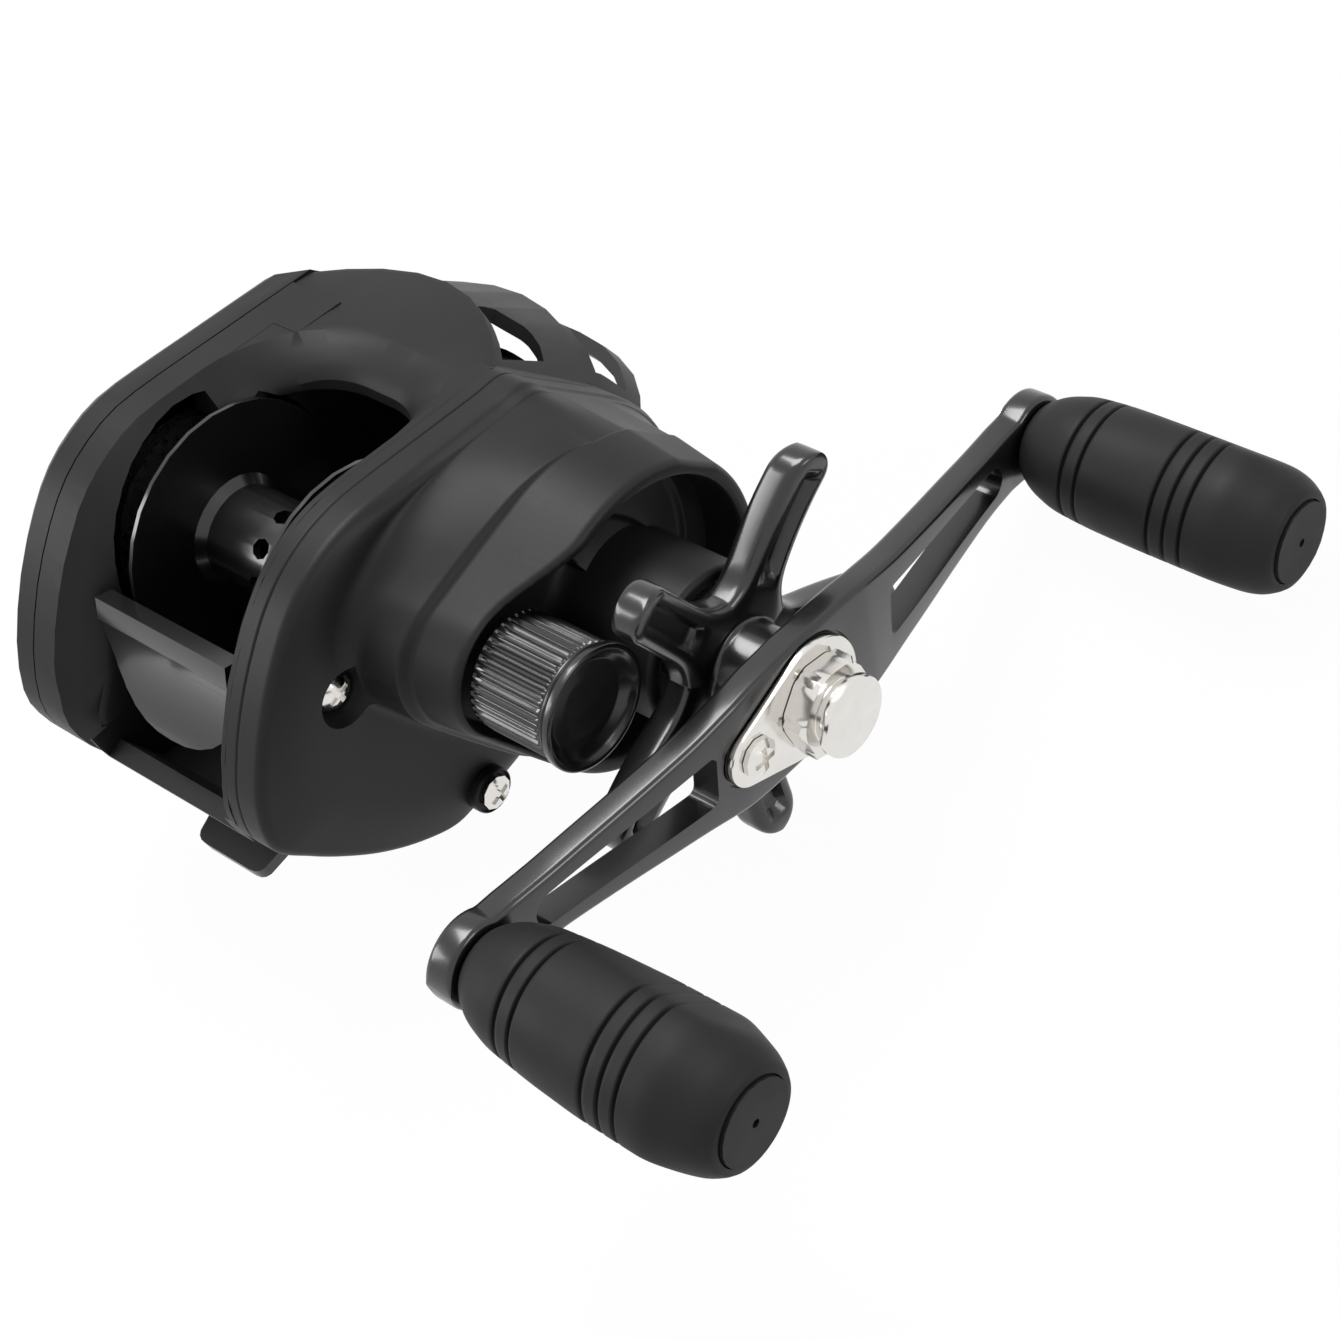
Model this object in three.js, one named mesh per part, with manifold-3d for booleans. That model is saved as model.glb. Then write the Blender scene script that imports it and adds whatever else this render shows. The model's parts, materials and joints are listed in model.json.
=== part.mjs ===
// A low-profile baitcasting reel with a right-hand double handle.
// X runs across the reel towards the handle, Y forwards along the rod and Z up.
// The origin is on the underside of the foot, below the middle of the spool. Lengths are in millimetres.

import * as THREE from 'three';
import { mergeVertices } from 'three/addons/utils/BufferGeometryUtils.js';
import Module from 'manifold-3d';

const wasm = await Module();
wasm.setup();

// Axes of the turning parts
const spoolHeight = 24;
const shaftForward = 14.4;
const shaftDrop = 10.5;
const wormForward = 27.5;
const wormDrop = 9.5;

// Side outline of the frame and its two side plates
const rearReach = 29.6;
const noseReach = 11.9;
const crownRise = 18;
const footThickness = 2.7;
const coverDrop = 11.2;

// Positions across the reel
const openingHalf = 11.3;
const rightWall = 2;
const leftWall = 8;
const leftRim = 4.1;
const palmRim = 2.9;
const palmDome = 3.6;
const seam = 0.2;

// Frame
const archThickness = 2.2;
const archRear = 21.5;
const archBulge = 9.3;
const archDrop = 4.1;
const floorThickness = 3.4;
const rearBarThickness = 2.4;
const rearBarHeight = 14.5;
const chamferShare = 0.84;
const boreClearance = 0.6;

// Front hood
const hoodWall = 1.8;
const noseBulge = 7.2;
const noseRoundness = 4;
const visorBulge = 7.6;
const visorDrop = 1;
const visorStep = 1.4;
const hoodSections = 10;
const mouthLow = 6.6;
const mouthHigh = 13.4;
const mouthHalf = 11.8;

// Foot
const footLength = 62;
const footWidth = 16;
const footTipWidth = 11.5;
const footTipLength = 17;
const footEdge = 0.9;
const rivetRadius = 1.5;
const rivetHeadRadius = 2.6;
const rivetHead = 0.9;
const rivetSpacing = 30;

// Spool
const flangeRadius = 15.8;
const flangeThickness = 1;
const spoolHalf = 10.3;
const coreRadius = 6;
const coreWall = 1.2;
const hubRadius = 3.6;
const hubLength = 4;
const coreHoleRadius = 1.25;
const coreHoles = 8;
const spoolShaftRadius = 2.2;
const spoolJournalRadius = 1.2;
const pinRadius = 0.65;
const pinLength = 5.4;
const pinAcross = 14.4;

// Bearings
const bearingWidth = 2.5;
const palmBearingRadius = 4.2;
const castBearingRadius = 3.5;
const runningGap = 0.15;
const seatGap = 0.1;

// Palm side plate, brake dial and magnets
const palmShares = [1, 1, 0.955, 0.84, 0.68];
const palmDepthShares = [0, 0.45, 0.64, 0.87, 1];
const palmHollowShare = 0.55;
const palmHubRadius = 6;
const palmHubLength = 4.4;
const dialRadius = 9;
const dialThickness = 2.4;
const dialRidges = 24;
const dialRidge = 0.45;
const dialStemRadius = 2.2;
const magnetOuter = 12.6;
const magnetThickness = 1.8;

// Gear side cover
const coverWall = 1.8;
const coverRim = 4.5;
const coverFacet = 6.2;
const coverShoulder = 7.6;
const coverDepth = 20.6;
const coverEdgeShare = 0.985;
const coverFacetShare = 0.22;
const shoulderGrowthShare = 1.1;
const frontBlendShare = 0.32;
const coverCentreForward = 7;
const coverCentreHeight = 19;
const drumBaseRadius = 20;
const drumRadius = 18.84;
const drumRimWidth = 2;
const drumRise = 4.3;
const capBossRadius = 10.5;
const neckRadius = 9.8;
const neckLength = 13;
const castBossRadius = 4.9;
const castBossLength = 7;
const scoopRadius = 8.2;

// Cover screws
const coverScrewHeadRadius = 2.2;
const coverScrewHead = 1.3;
const coverScrewShank = 1.2;
const screwSlotWidth = 0.7;
const screwSlotDepth = 0.5;
const sinkRadius = 3;
const screwBossWall = 0.6;
const coverScrewRises = [4.2, 7.6, 6.4];
const coverScrewShares = [[-0.41, 0.606], [-0.257, -0.183], [0.84, 0.1]];

// Gears
const driveTeeth = 63;
const pinionTeeth = 10;
const windDriveTeeth = 26;
const wormTeeth = 18;
const driveGearWidth = 5;
const driveGearAcross = 19.7;
const pinionLength = 9;
const pinionCollarRadius = 3.2;
const pinionCollar = 2.8;
const pinionGroove = 1.6;
const pinionGrooveRadius = 2.3;
const windGearWidth = 2.2;
const addendumShare = 0.72;
const dedendumShare = 1.02;
const rootHalfShare = 0.25;
const tipHalfShare = 0.1;

// Main shaft and drag
const shaftRadius = 2.9;
const shaftJournalRadius = 2;
const shaftFlangeRadius = 6.2;
const shaftFlange = 1;
const ratchetRadius = 7.6;
const ratchetThickness = 1;
const ratchetTeeth = 12;
const ratchetTooth = 1.2;
const dragRadius = 12.4;
const dragWasher = 0.7;
const dragPocket = 3.1;
const pressureWasher = 1.1;
const clutchOuter = 8;
const clutchInner = 4.5;
const clutchLength = 6;
const sleeveOuter = 4.3;
const shaftBearingWidth = 3;
const springWasherRadius = 6;
const springWasherRise = 0.7;
const springWasherThickness = 0.4;

// Star drag
const starHubRadius = 8;
const starThickness = 4.2;
const starReach = 25;
const starArmHalf = 3.2;
const starRootShare = 1.4;
const starArms = 5;
const starLean = 2.4;
const starFirstArm = 33;
const starGrooveHalf = 1.1;
const starGrooveDepth = 1.6;
const starCollarRadius = 5.4;
const starBevel = 0.9;
const starTipShare = 0.35;
const starStationShares = [0.25, 0.4, 0.62, 0.84, 0.92, 0.97, 1];

// Handle
const handleSpan = 95;
const handleTurn = -20.6;
const armThickness = 3.5;
const armBow = 3.7;
const armFlatHalf = 11;
const armBevel = 0.6;
const armStationShares = [0, 0.14, 0.23, 0.36, 0.57, 0.78, 0.89];
const armHalfWidths = [8.2, 8.1, 7.7, 6.5, 5.3, 4.3, 4.2];
const armBossAngles = [118, 90, 60, 35, 12];
const armBossRadius = 5.2;
const slotStartShare = 0.33;
const slotEndShare = 0.8;
const slotStartHalf = 3.3;
const slotEndHalf = 2.1;
const armFrontAcross = 61.2;
const plateRadius = 7.3;
const plateTipRadius = 3.8;
const plateTipOffset = 10;
const plateThickness = 1.2;
const plateRecess = 0.5;
const plateMargin = 0.35;
const retainerHeadRadius = 2.4;
const retainerHead = 1.2;
const retainerShank = 1;
const nutCorner = 6;
const nutHeight = 3;
const nutNeckRadius = 3.9;
const nutNeck = 1.1;
const nutNoseRadius = 4.8;
const nutNose = 1.3;

// Knobs
const knobLength = 34.6;
const knobRadius = 8.65;
const knobFlatShare = 0.86;
const knobFlatTurn = 25;
const knobStationShares = [0.012, 0.04, 0.2, 0.45, 0.66, 0.84, 0.93, 0.985, 1];
const knobRadiusShares = [0.68, 0.76, 1, 0.97, 0.89, 0.81, 0.69, 0.54, 0.43];
const knobGrooveShares = [0.291, 0.352, 0.414, 0.714, 0.775];
const knobGrooveHalf = 0.4;
const knobGrooveDepth = 0.5;
const knobBore = 2.6;
const capRadius = 4.85;
const capThickness = 1.4;
const capHoleRadius = 0.5;
const capPocket = 3;
const capGap = 0.12;
const spindleRadius = 2.3;
const spindleHeadRadius = 3.4;
const spindleHead = 0.8;
const knobScrewHeadRadius = 3.6;
const knobScrewHead = 0.9;
const knobScrewShank = 0.9;
const knobScrewLength = 8;

// Cast control cap
const castCapRadius = 7;
const castCapLength = 12;
const castCapRidges = 28;
const castCapRidge = 0.35;
const castCapFlare = 0.5;
const castCapDish = 1.8;
const castCapRim = 0.7;
const castCapBore = 5.2;
const castCapEnd = 1.3;

// Thumb bar and clutch
const thumbTopRear = 17.2;
const thumbTopHeight = 35;
const thumbSlope = 57;
const thumbLength = 14.6;
const thumbThickness = 2.4;
const thumbSideGap = 0.5;
const thumbTravel = 3.2;
const thumbLugWidth = 3;
const thumbLugDown = 4.6;
const thumbLugLength = 4;
const camThickness = 0.9;
const camWidth = 4;
const camDrop = 6.3;
const yokeThickness = 1;
const yokeSpread = 6.2;
const yokeHalf = 1.9;
const yokeTravel = 2;
const postRadius = 0.8;
const postHeadRadius = 1.7;
const postHead = 0.8;
const postLength = 10.4;
const springOuter = 1.6;
const springWire = 0.55;

// Level wind
const wormRadius = 2.3;
const wormJournalRadius = 1.3;
const wormPinchRadius = 2;
const bushRadius = 2.6;
const bushLength = 1.6;
const railRadius = 1;
const railForward = 3.4;
const railRise = 4.8;
const guideWidth = 5.6;
const guideWall = 1.5;
const eyeRadius = 2.3;
const eyeWall = 0.8;
const eyeDrop = 3.4;
const eyeForward = 7.6;
const insertWall = 0.8;
const insertLength = 3.4;
const pawlRadius = 1.1;
const pawlCapRadius = 1.9;
const pawlCapHeight = 1;

// Fineness of round shapes
const roundSides = 20;
const smallSides = 8;
const wideSides = 36;
const spoolSides = 28;
const knobSides = 16;
const hiddenSides = 16;
const outlineSteps = 2;
const coverRays = 36;
const overrun = 1;

// Shares of the outline's rear reach, front reach and height, from the rear foot of the plate round to
// its rear
const bottomShares = [[-0.676, 0], [0.82, 0]];
const noseShares = [[1, 0], [0.99, 0.08], [0.974, 0.168], [0.956, 0.247]];
const noseBulgeShares = [1, 0.95, 0.9, 0.85];
const visorShare = [0.931, 0.318];
const archShare = [0.711, 0.718];
const archEdgeShares = [[0.6, 0.9], [0.1, 0.6], [0, 0.25], [0.35, 0]];
const windowAcrossShares = [0.06, 0.11, 0.27, 0.42, 0.54, 0.72, 0.93];
const windowStartShare = 0.1;
const windowEndShares = [0.18, 0.3, 0.39, 0.49, 0.54, 0.57, 0.56];
const crownShares = [
  [0.564, 0.781], [0.385, 0.857], [0.205, 0.934], [0.051, 0.99], [-0.101, 1], [-0.27, 0.98],
  [-0.439, 0.921], [-0.642, 0.817], [-0.845, 0.669], [-0.97, 0.527], [-1, 0.415], [-0.98, 0.277],
  [-0.878, 0.109],
];
const coverBottomShares = [
  [-0.96, 0.31], [-0.93, 0.27], [-0.83, 0.12], [-0.68, -0.2], [-0.476, -0.74], [-0.3, -0.95], [0, -1],
  [0.36, -1],
  [0.61, -0.88], [0.8, -0.6], [0.93, -0.2], [0.98, 0.05],
];

// Positions that follow from the sizes
const bodyBottom = footThickness;
const bodyHeight = spoolHeight + crownRise - bodyBottom;
const frontReach = wormForward + noseReach;
const shaftHeight = spoolHeight - shaftDrop;
const wormHeight = spoolHeight - wormDrop;
const wallOuter = openingHalf + rightWall;
const frameLeft = -openingHalf - leftWall;
const coverBase = wallOuter + seam;
const coverOuter = coverBase + coverDepth;
const drumFace = coverOuter + drumRise;
const neckFace = coverOuter + neckLength;
const bearingAngle = Math.atan2(shaftDrop, -shaftForward);
const palmFace = frameLeft - seam - palmRim;
const hoodCentre = (palmFace + wallOuter) / 2;
const hoodHalf = (wallOuter - palmFace) / 2;

// Turns a drawing in the XY plane, extruded along Z, into one in the YZ plane, extruded along X
const acrossTurn = new THREE.Matrix4().makeBasis(
  new THREE.Vector3(0, 1, 0),
  new THREE.Vector3(0, 0, 1),
  new THREE.Vector3(1, 0, 0),
);

function signedVolume(geometry) {
  const flat = geometry.index ? geometry.toNonIndexed() : geometry;
  const position = flat.attributes.position;
  const corner = [new THREE.Vector3(), new THREE.Vector3(), new THREE.Vector3()];
  let volume = 0;
  for (let i = 0; i < position.count; i += 3) {
    corner.forEach((vector, k) => vector.fromBufferAttribute(position, i + k));
    volume += corner[0].dot(corner[1].clone().cross(corner[2])) / 6;
  }
  return volume;
}

// A geometry with its vertices merged and its faces pointing out, as a solid for joins and cuts
function solid(geometry) {
  const bare = geometry.clone();
  bare.deleteAttribute('normal');
  bare.deleteAttribute('uv');
  const merged = mergeVertices(bare);
  const triVerts = new Uint32Array(merged.index.array);
  if (signedVolume(merged) < 0) triVerts.reverse();
  return new wasm.Manifold(new wasm.Mesh({
    numProp: 3,
    vertProperties: new Float32Array(merged.attributes.position.array),
    triVerts,
  }));
}

function geometryOf(body) {
  const mesh = body.getMesh();
  const geometry = new THREE.BufferGeometry();
  geometry.setAttribute('position', new THREE.BufferAttribute(new Float32Array(mesh.vertProperties), 3));
  geometry.setIndex(new THREE.BufferAttribute(new Uint32Array(mesh.triVerts), 1));
  geometry.computeVertexNormals();
  return geometry;
}

// A flat outline in Y and Z, extruded along X
function prism(outline, from, to) {
  const shape = new THREE.Shape(outline.map(([y, z]) => new THREE.Vector2(y, z)));
  const geometry = new THREE.ExtrudeGeometry(shape, { depth: to - from, bevelEnabled: false });
  geometry.applyMatrix4(acrossTurn);
  geometry.translate(from, 0, 0);
  return solid(geometry);
}

// A profile of [radius, X] points, turned about the X axis and moved to an axis at Y and Z
function turned(profile, sides = roundSides, y = 0, z = 0) {
  const points = profile.map(([radius, x]) => new THREE.Vector2(radius, x));
  const geometry = new THREE.LatheGeometry(points, sides);
  geometry.rotateZ(-Math.PI / 2);
  geometry.translate(0, y, z);
  return solid(geometry);
}

function rod(radius, from, to, sides = roundSides, y = 0, z = 0) {
  return turned([[0, from], [radius, from], [radius, to], [0, to]], sides, y, z);
}

function ring(outer, inner, from, to, sides = roundSides, y = 0, z = 0) {
  const profile = [[inner, from], [outer, from], [outer, to], [inner, to], [inner, from]];
  return turned(profile, sides, y, z);
}

function block(width, depth, height, x, y, z) {
  const geometry = new THREE.BoxGeometry(width, depth, height);
  geometry.translate(x, y, z);
  return solid(geometry);
}

// A round bar that stands on Z
function standing(radius, from, to, x, y, sides = smallSides) {
  const geometry = new THREE.CylinderGeometry(radius, radius, to - from, sides);
  geometry.rotateX(Math.PI / 2);
  geometry.translate(x, y, (from + to) / 2);
  return solid(geometry);
}

// A round bar along Y
function lengthwise(radius, from, to, x, z, sides = smallSides) {
  const geometry = new THREE.CylinderGeometry(radius, radius, to - from, sides);
  geometry.translate(x, (from + to) / 2, z);
  return solid(geometry);
}

function joined(bodies) {
  return bodies.reduce((whole, body) => whole.add(body));
}

function cutBy(body, tools) {
  return tools.reduce((rest, tool) => rest.subtract(tool), body);
}

function degrees(angle) {
  return THREE.MathUtils.degToRad(angle);
}

// Points on a circle from one angle to another
function arcPoints(radius, from, to, steps, y = 0, z = 0) {
  return Array.from({ length: steps + 1 }, (unused, k) => {
    const angle = from + (to - from) * k / steps;
    return [y + radius * Math.cos(angle), z + radius * Math.sin(angle)];
  });
}

// A slot or bar with round ends between two points
function capsule(half, start, end, steps = smallSides / 2) {
  const along = Math.atan2(end[1] - start[1], end[0] - start[0]);
  return [
    ...arcPoints(half, along - Math.PI / 2, along + Math.PI / 2, steps, end[0], end[1]),
    ...arcPoints(half, along + Math.PI / 2, along + Math.PI * 3 / 2, steps, start[0], start[1]),
  ];
}

// The outline round two circles on the Y axis, the second one smaller
function twoCircleOutline(radius, tipRadius, offset, steps) {
  const lean = Math.acos((radius - tipRadius) / offset);
  return [
    ...arcPoints(radius, -Math.PI + lean, Math.PI - lean, steps),
    ...arcPoints(tipRadius, Math.PI - lean, Math.PI + lean, steps / 2, -offset),
  ];
}

function fromShares(shares) {
  return shares.map(([y, z]) => [y * (y < 0 ? rearReach : frontReach), bodyBottom + z * bodyHeight]);
}

function smoothRun(points) {
  const curve = new THREE.SplineCurve(points.map(([y, z]) => new THREE.Vector2(y, z)));
  return curve.getPoints((points.length - 1) * outlineSteps).map((point) => [point.x, point.y]);
}

// How far the front has bulged out at X, from none at the two sides to all of it in the middle
function bulgeAt(x, roundness) {
  const off = Math.abs(x - hoodCentre) / hoodHalf;
  return Math.max(0, 1 - off ** roundness);
}

// The front at X, from the foot up the nose to the visor's lower edge and the arch's edge
function frontRun(x) {
  const round = bulgeAt(x, noseRoundness);
  const arc = bulgeAt(x, 2);
  const nose = fromShares(noseShares).map(([y, z], k) => [y + noseBulge * round * noseBulgeShares[k], z]);
  const [visor, arch] = fromShares([visorShare, archShare]);
  return [
    ...nose,
    [visor[0] + visorBulge * arc, visor[1] - visorDrop * arc],
    [arch[0] + archBulge * arc, arch[1] - archDrop * arc],
  ];
}

// The side outline at X: flat below, straight at the visor and domed over the spool
function bodyOutline(x = wallOuter) {
  return [
    ...fromShares(bottomShares),
    ...frontRun(x),
    ...smoothRun(fromShares(crownShares)),
  ];
}

// The gear side has the same crown, and bellies out below the foot
function coverOutline() {
  const below = coverBottomShares.map(([y, z]) => [
    y * (y < 0 ? rearReach : frontReach),
    bodyBottom + z * (z < 0 ? coverDrop : bodyHeight),
  ]);
  return [
    ...smoothRun(below),
    ...frontRun(wallOuter).slice(2),
    ...smoothRun(fromShares(crownShares.slice(0, -2))),
  ];
}

function scaledOutline(outline, share) {
  const middle = [(frontReach - rearReach) / 2, bodyBottom + bodyHeight / 2];
  return outline.map(([y, z]) => [middle[0] + (y - middle[0]) * share, middle[1] + (z - middle[1]) * share]);
}

// A closed skin through outlines of equal point counts at rising X
function loft(sections) {
  const count = sections[0].outline.length;
  const positions = sections.flatMap(({ x, outline }) => outline.flatMap(([y, z]) => [x, y, z]));
  const index = [];
  for (let layer = 0; layer < sections.length - 1; layer += 1) {
    for (let k = 0; k < count; k += 1) {
      const next = (k + 1) % count;
      const here = layer * count;
      const there = here + count;
      index.push(here + k, here + next, there + next, here + k, there + next, there + k);
    }
  }
  [0, sections.length - 1].forEach((layer) => {
    const flat = sections[layer].outline.map(([y, z]) => new THREE.Vector2(y, z));
    const faces = THREE.ShapeUtils.triangulateShape(flat, []);
    faces.forEach(([a, b, c]) => {
      const start = layer * count;
      index.push(...(layer === 0 ? [start + c, start + b, start + a] : [start + a, start + b, start + c]));
    });
  });
  const geometry = new THREE.BufferGeometry();
  geometry.setAttribute('position', new THREE.Float32BufferAttribute(positions, 3));
  geometry.setIndex(index);
  return solid(geometry);
}

const reel = new THREE.Group();

function finish(color, roughness, metalness) {
  return new THREE.MeshStandardMaterial({ color, roughness, metalness });
}

const matteBlack = () => finish(0x242527, 0.62, 0);
const satinBlack = () => finish(0x1b1c1e, 0.4, 0);
const glossBlack = () => finish(0x121315, 0.2, 0.3);
const rubberBlack = () => finish(0x26272a, 0.75, 0);
const nickel = () => finish(0xc9c7c2, 0.22, 1);
const steel = () => finish(0x9a9b9d, 0.3, 1);
const brass = () => finish(0xb3924f, 0.35, 1);
const carbon = () => finish(0x1a1a1a, 0.8, 0);
const whitePlastic = () => finish(0xd9d8d2, 0.5, 0);

function add(parent, name, body, material, x = 0, y = 0, z = 0) {
  const mesh = new THREE.Mesh(geometryOf(body), material);
  mesh.name = name;
  mesh.position.set(x, y, z);
  parent.add(mesh);
  return mesh;
}

function axisGroup(y, z) {
  const group = new THREE.Group();
  group.position.set(0, y, z);
  reel.add(group);
  return group;
}

const onSpoolAxis = axisGroup(0, spoolHeight);
const onShaftAxis = axisGroup(shaftForward, shaftHeight);
const onWormAxis = axisGroup(wormForward, wormHeight);

// Frame: a deep ring on the palm side, a wall on the gear side, and an arch, a floor and a rear bar between

function frameBay() {
  const low = bodyBottom + floorThickness;
  const rearBar = -rearReach + rearBarThickness;
  const top = bodyBottom + bodyHeight + overrun;
  const outline = [
    [-rearReach - overrun, bodyBottom + rearBarHeight],
    [rearBar, bodyBottom + rearBarHeight],
    [rearBar * 0.93, low + floorThickness],
    [rearBar * 0.68, low],
    [frontReach + overrun, low],
    [frontReach + overrun, top],
    [-rearReach - overrun, top],
  ];
  return prism(outline, -openingHalf, openingHalf);
}

function leftRing() {
  const outline = bodyOutline();
  return loft([
    { x: frameLeft, outline },
    { x: frameLeft + leftRim, outline },
    { x: -openingHalf, outline: scaledOutline(outline, chamferShare) },
  ]);
}

// Places across the front, closer together towards its two ends
function frontStations() {
  const ends = [frameLeft, wallOuter].map((x) => Math.asin((x - hoodCentre) / hoodHalf));
  return Array.from({ length: hoodSections + 1 }, (unused, k) => (
    hoodCentre + hoodHalf * Math.sin(ends[0] + (ends[1] - ends[0]) * k / hoodSections)));
}

// The plate over the level wind, with its curved front edge
function archBody(margin) {
  const [root] = fromShares([archShare]);
  const [crown] = fromShares([crownShares[0]]);
  const slopeShare = (crown[1] - root[1]) / (root[0] - crown[0]);
  const rearTop = root[1] + (root[0] - archRear) * slopeShare;
  return loft(frontStations().map((x) => {
    const [frontY, frontZ] = frontRun(x).at(-1);
    const edge = archEdgeShares.map(([back, down]) => [
      frontY - archThickness * back + margin,
      frontZ - archThickness * down - (down > archEdgeShares[2][1] ? margin : 0),
    ]);
    return { x, outline: [[archRear, rearTop - archThickness - margin], ...edge, [archRear, rearTop]] };
  }));
}

function makeFrame() {
  const outline = bodyOutline();
  const frontBand = prism([
    [archRear, bodyBottom], [frontReach, bodyBottom], [frontReach, bodyBottom + bodyHeight],
    [archRear, bodyBottom + bodyHeight],
  ], frameLeft, wallOuter);
  const shell = prism(outline, frameLeft, wallOuter);
  const middle = prism(outline, -openingHalf - overrun / 2, wallOuter);
  const gearWall = prism(coverOutline(), openingHalf, wallOuter);
  const bore = flangeRadius + boreClearance;
  const bare = cutBy(joined([leftRing(), middle, shell.intersect(frontBand), gearWall]), [
    frameBay(),
    hoodSkin(-seatGap).subtract(hoodHollow(hoodWall + seatGap)),
  ]);
  const whole = bare.add(archBody(0));
  const yokeTurn = [Math.cos(bearingAngle - Math.PI / 2), Math.sin(bearingAngle - Math.PI / 2)];
  const posts = [-yokeSpread, yokeSpread].map((spread) => (
    rod(postRadius + seatGap, openingHalf - overrun, wallOuter + overrun, smallSides,
      yokeTurn[0] * spread, spoolHeight + yokeTurn[1] * spread)));
  return cutBy(whole, [
    rod(bore, frameLeft - overrun, -openingHalf + overrun, wideSides, 0, spoolHeight),
    rod(pinionCollarRadius + boreClearance, openingHalf - overrun, wallOuter + overrun, roundSides, 0,
      spoolHeight),
    rod(shaftJournalRadius + runningGap, openingHalf - overrun, wallOuter + overrun, roundSides,
      shaftForward, shaftHeight),
    rod(bushRadius + seatGap, frameLeft + leftRim, wallOuter + overrun, hiddenSides, wormForward,
      wormHeight),
    rod(railRadius + seatGap, frameLeft + leftRim, wallOuter + overrun, smallSides,
      wormForward + railForward, wormHeight + railRise),
    ...posts,
    thumbLugSlot(),
    ...coverScrewPlaces().map(([y, z]) => (
      rod(coverScrewShank + seatGap, openingHalf - overrun, wallOuter + overrun, smallSides, y, z))),
    ...rivetPlaces().map((y) => standing(rivetRadius + seatGap, -overrun, bodyHeight / 2, 0, y)),
  ]);
}

function rivetPlaces() {
  return [-rivetSpacing / 2, rivetSpacing / 2];
}

function coverScrewPlaces() {
  return coverScrewShares.map(([y, z]) => [y * (y < 0 ? rearReach : frontReach),
    bodyBottom + z * bodyHeight]);
}

// Foot: a flat plate with narrowed ends, riveted to the frame's floor

function makeFoot() {
  const half = footLength / 2;
  const neck = half - footTipLength;
  const shape = new THREE.Shape();
  const tipHalf = footTipWidth / 2;
  const wideHalf = footWidth / 2;
  const corner = tipHalf / 3;
  shape.moveTo(-wideHalf, -neck);
  shape.lineTo(-tipHalf, -half + corner);
  shape.quadraticCurveTo(-tipHalf, -half, -tipHalf + corner, -half);
  shape.lineTo(tipHalf - corner, -half);
  shape.quadraticCurveTo(tipHalf, -half, tipHalf, -half + corner);
  shape.lineTo(wideHalf, -neck);
  shape.lineTo(wideHalf, neck);
  shape.lineTo(tipHalf, half - corner);
  shape.quadraticCurveTo(tipHalf, half, tipHalf - corner, half);
  shape.lineTo(-tipHalf + corner, half);
  shape.quadraticCurveTo(-tipHalf, half, -tipHalf, half - corner);
  shape.lineTo(-wideHalf, neck);
  const geometry = new THREE.ExtrudeGeometry(shape, {
    depth: footThickness - seatGap - footEdge,
    bevelThickness: footEdge,
    bevelSize: footEdge,
    bevelOffset: -footEdge,
    bevelSegments: 1,
    curveSegments: 4,
  });
  geometry.translate(0, 0, footEdge);
  const tops = rivetPlaces().map((y) => standing(rivetRadius + seatGap, footEdge,
    footThickness + overrun, 0, y));
  return cutBy(solid(geometry), [
    ...tops,
    block(footWidth, footLength, overrun * 2, 0, 0, footThickness - seatGap + overrun),
  ]);
}

function makeRivet() {
  const floorTop = bodyBottom + floorThickness;
  return joined([
    standing(rivetRadius, footEdge + seatGap, floorTop + seatGap * 2, 0, 0),
    standing(rivetHeadRadius, floorTop + seatGap, floorTop + seatGap + rivetHead, 0, 0),
  ]);
}

// Palm side plate with its bearing hub

function makePalmPlate() {
  const outline = bodyOutline();
  const base = frameLeft - seam;
  const depth = palmRim + palmDome;
  const sections = palmShares.map((share, k) => {
    const x = base - depth * palmDepthShares[k];
    return { x, outline: scaledOutline(bodyOutline(x), share) };
  });
  const dome = loft(sections.reverse());
  const hubEnd = base + palmHubLength;
  const hub = ring(palmHubRadius, palmBearingRadius + seatGap, base - overrun, hubEnd, hiddenSides, 0,
    spoolHeight);
  const floor = rod(palmHubRadius, base - depth * 0.6, base - overrun * 0.5, hiddenSides, 0, spoolHeight);
  const hollow = loft([
    { x: base - depth * palmHollowShare, outline: scaledOutline(outline, palmShares[4]) },
    { x: base + overrun, outline: scaledOutline(outline, palmShares[3]) },
  ]);
  const shell = dome.subtract(hollow);
  return cutBy(joined([shell, floor, hub]), [
    rod(dialStemRadius + runningGap, base - depth - overrun, base + overrun, hiddenSides, 0, spoolHeight),
  ]);
}

function ridgedOutline(radius, depth, count) {
  return Array.from({ length: count * 2 }, (unused, k) => {
    const reach = k % 2 ? radius : radius - depth;
    const angle = Math.PI * k / count;
    return [reach * Math.cos(angle), reach * Math.sin(angle)];
  });
}

function makeBrakeDial() {
  const outer = frameLeft - seam - palmRim - palmDome - seatGap;
  const knurl = prism(ridgedOutline(dialRadius, dialRidge, dialRidges), outer - dialThickness, outer);
  const stem = rod(dialStemRadius, outer - dialThickness / 2, frameLeft - seam - palmDome / 2, hiddenSides);
  const grip = block(dialThickness, dialRadius * 1.5, dialRidge * 4, outer - dialThickness, 0, 0);
  return joined([knurl, stem, grip]);
}

// Front hood over the level wind: a nose with a mouth for the line, and a visor with a window above it

// Moves a run of points inwards, square to the run
function insetRun(points, inset) {
  return points.map(([y, z], k) => {
    const before = points[Math.max(k - 1, 0)];
    const after = points[Math.min(k + 1, points.length - 1)];
    const along = [after[0] - before[0], after[1] - before[1]];
    const length = Math.hypot(...along);
    return [y - along[1] / length * inset, z + along[0] / length * inset];
  });
}

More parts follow.
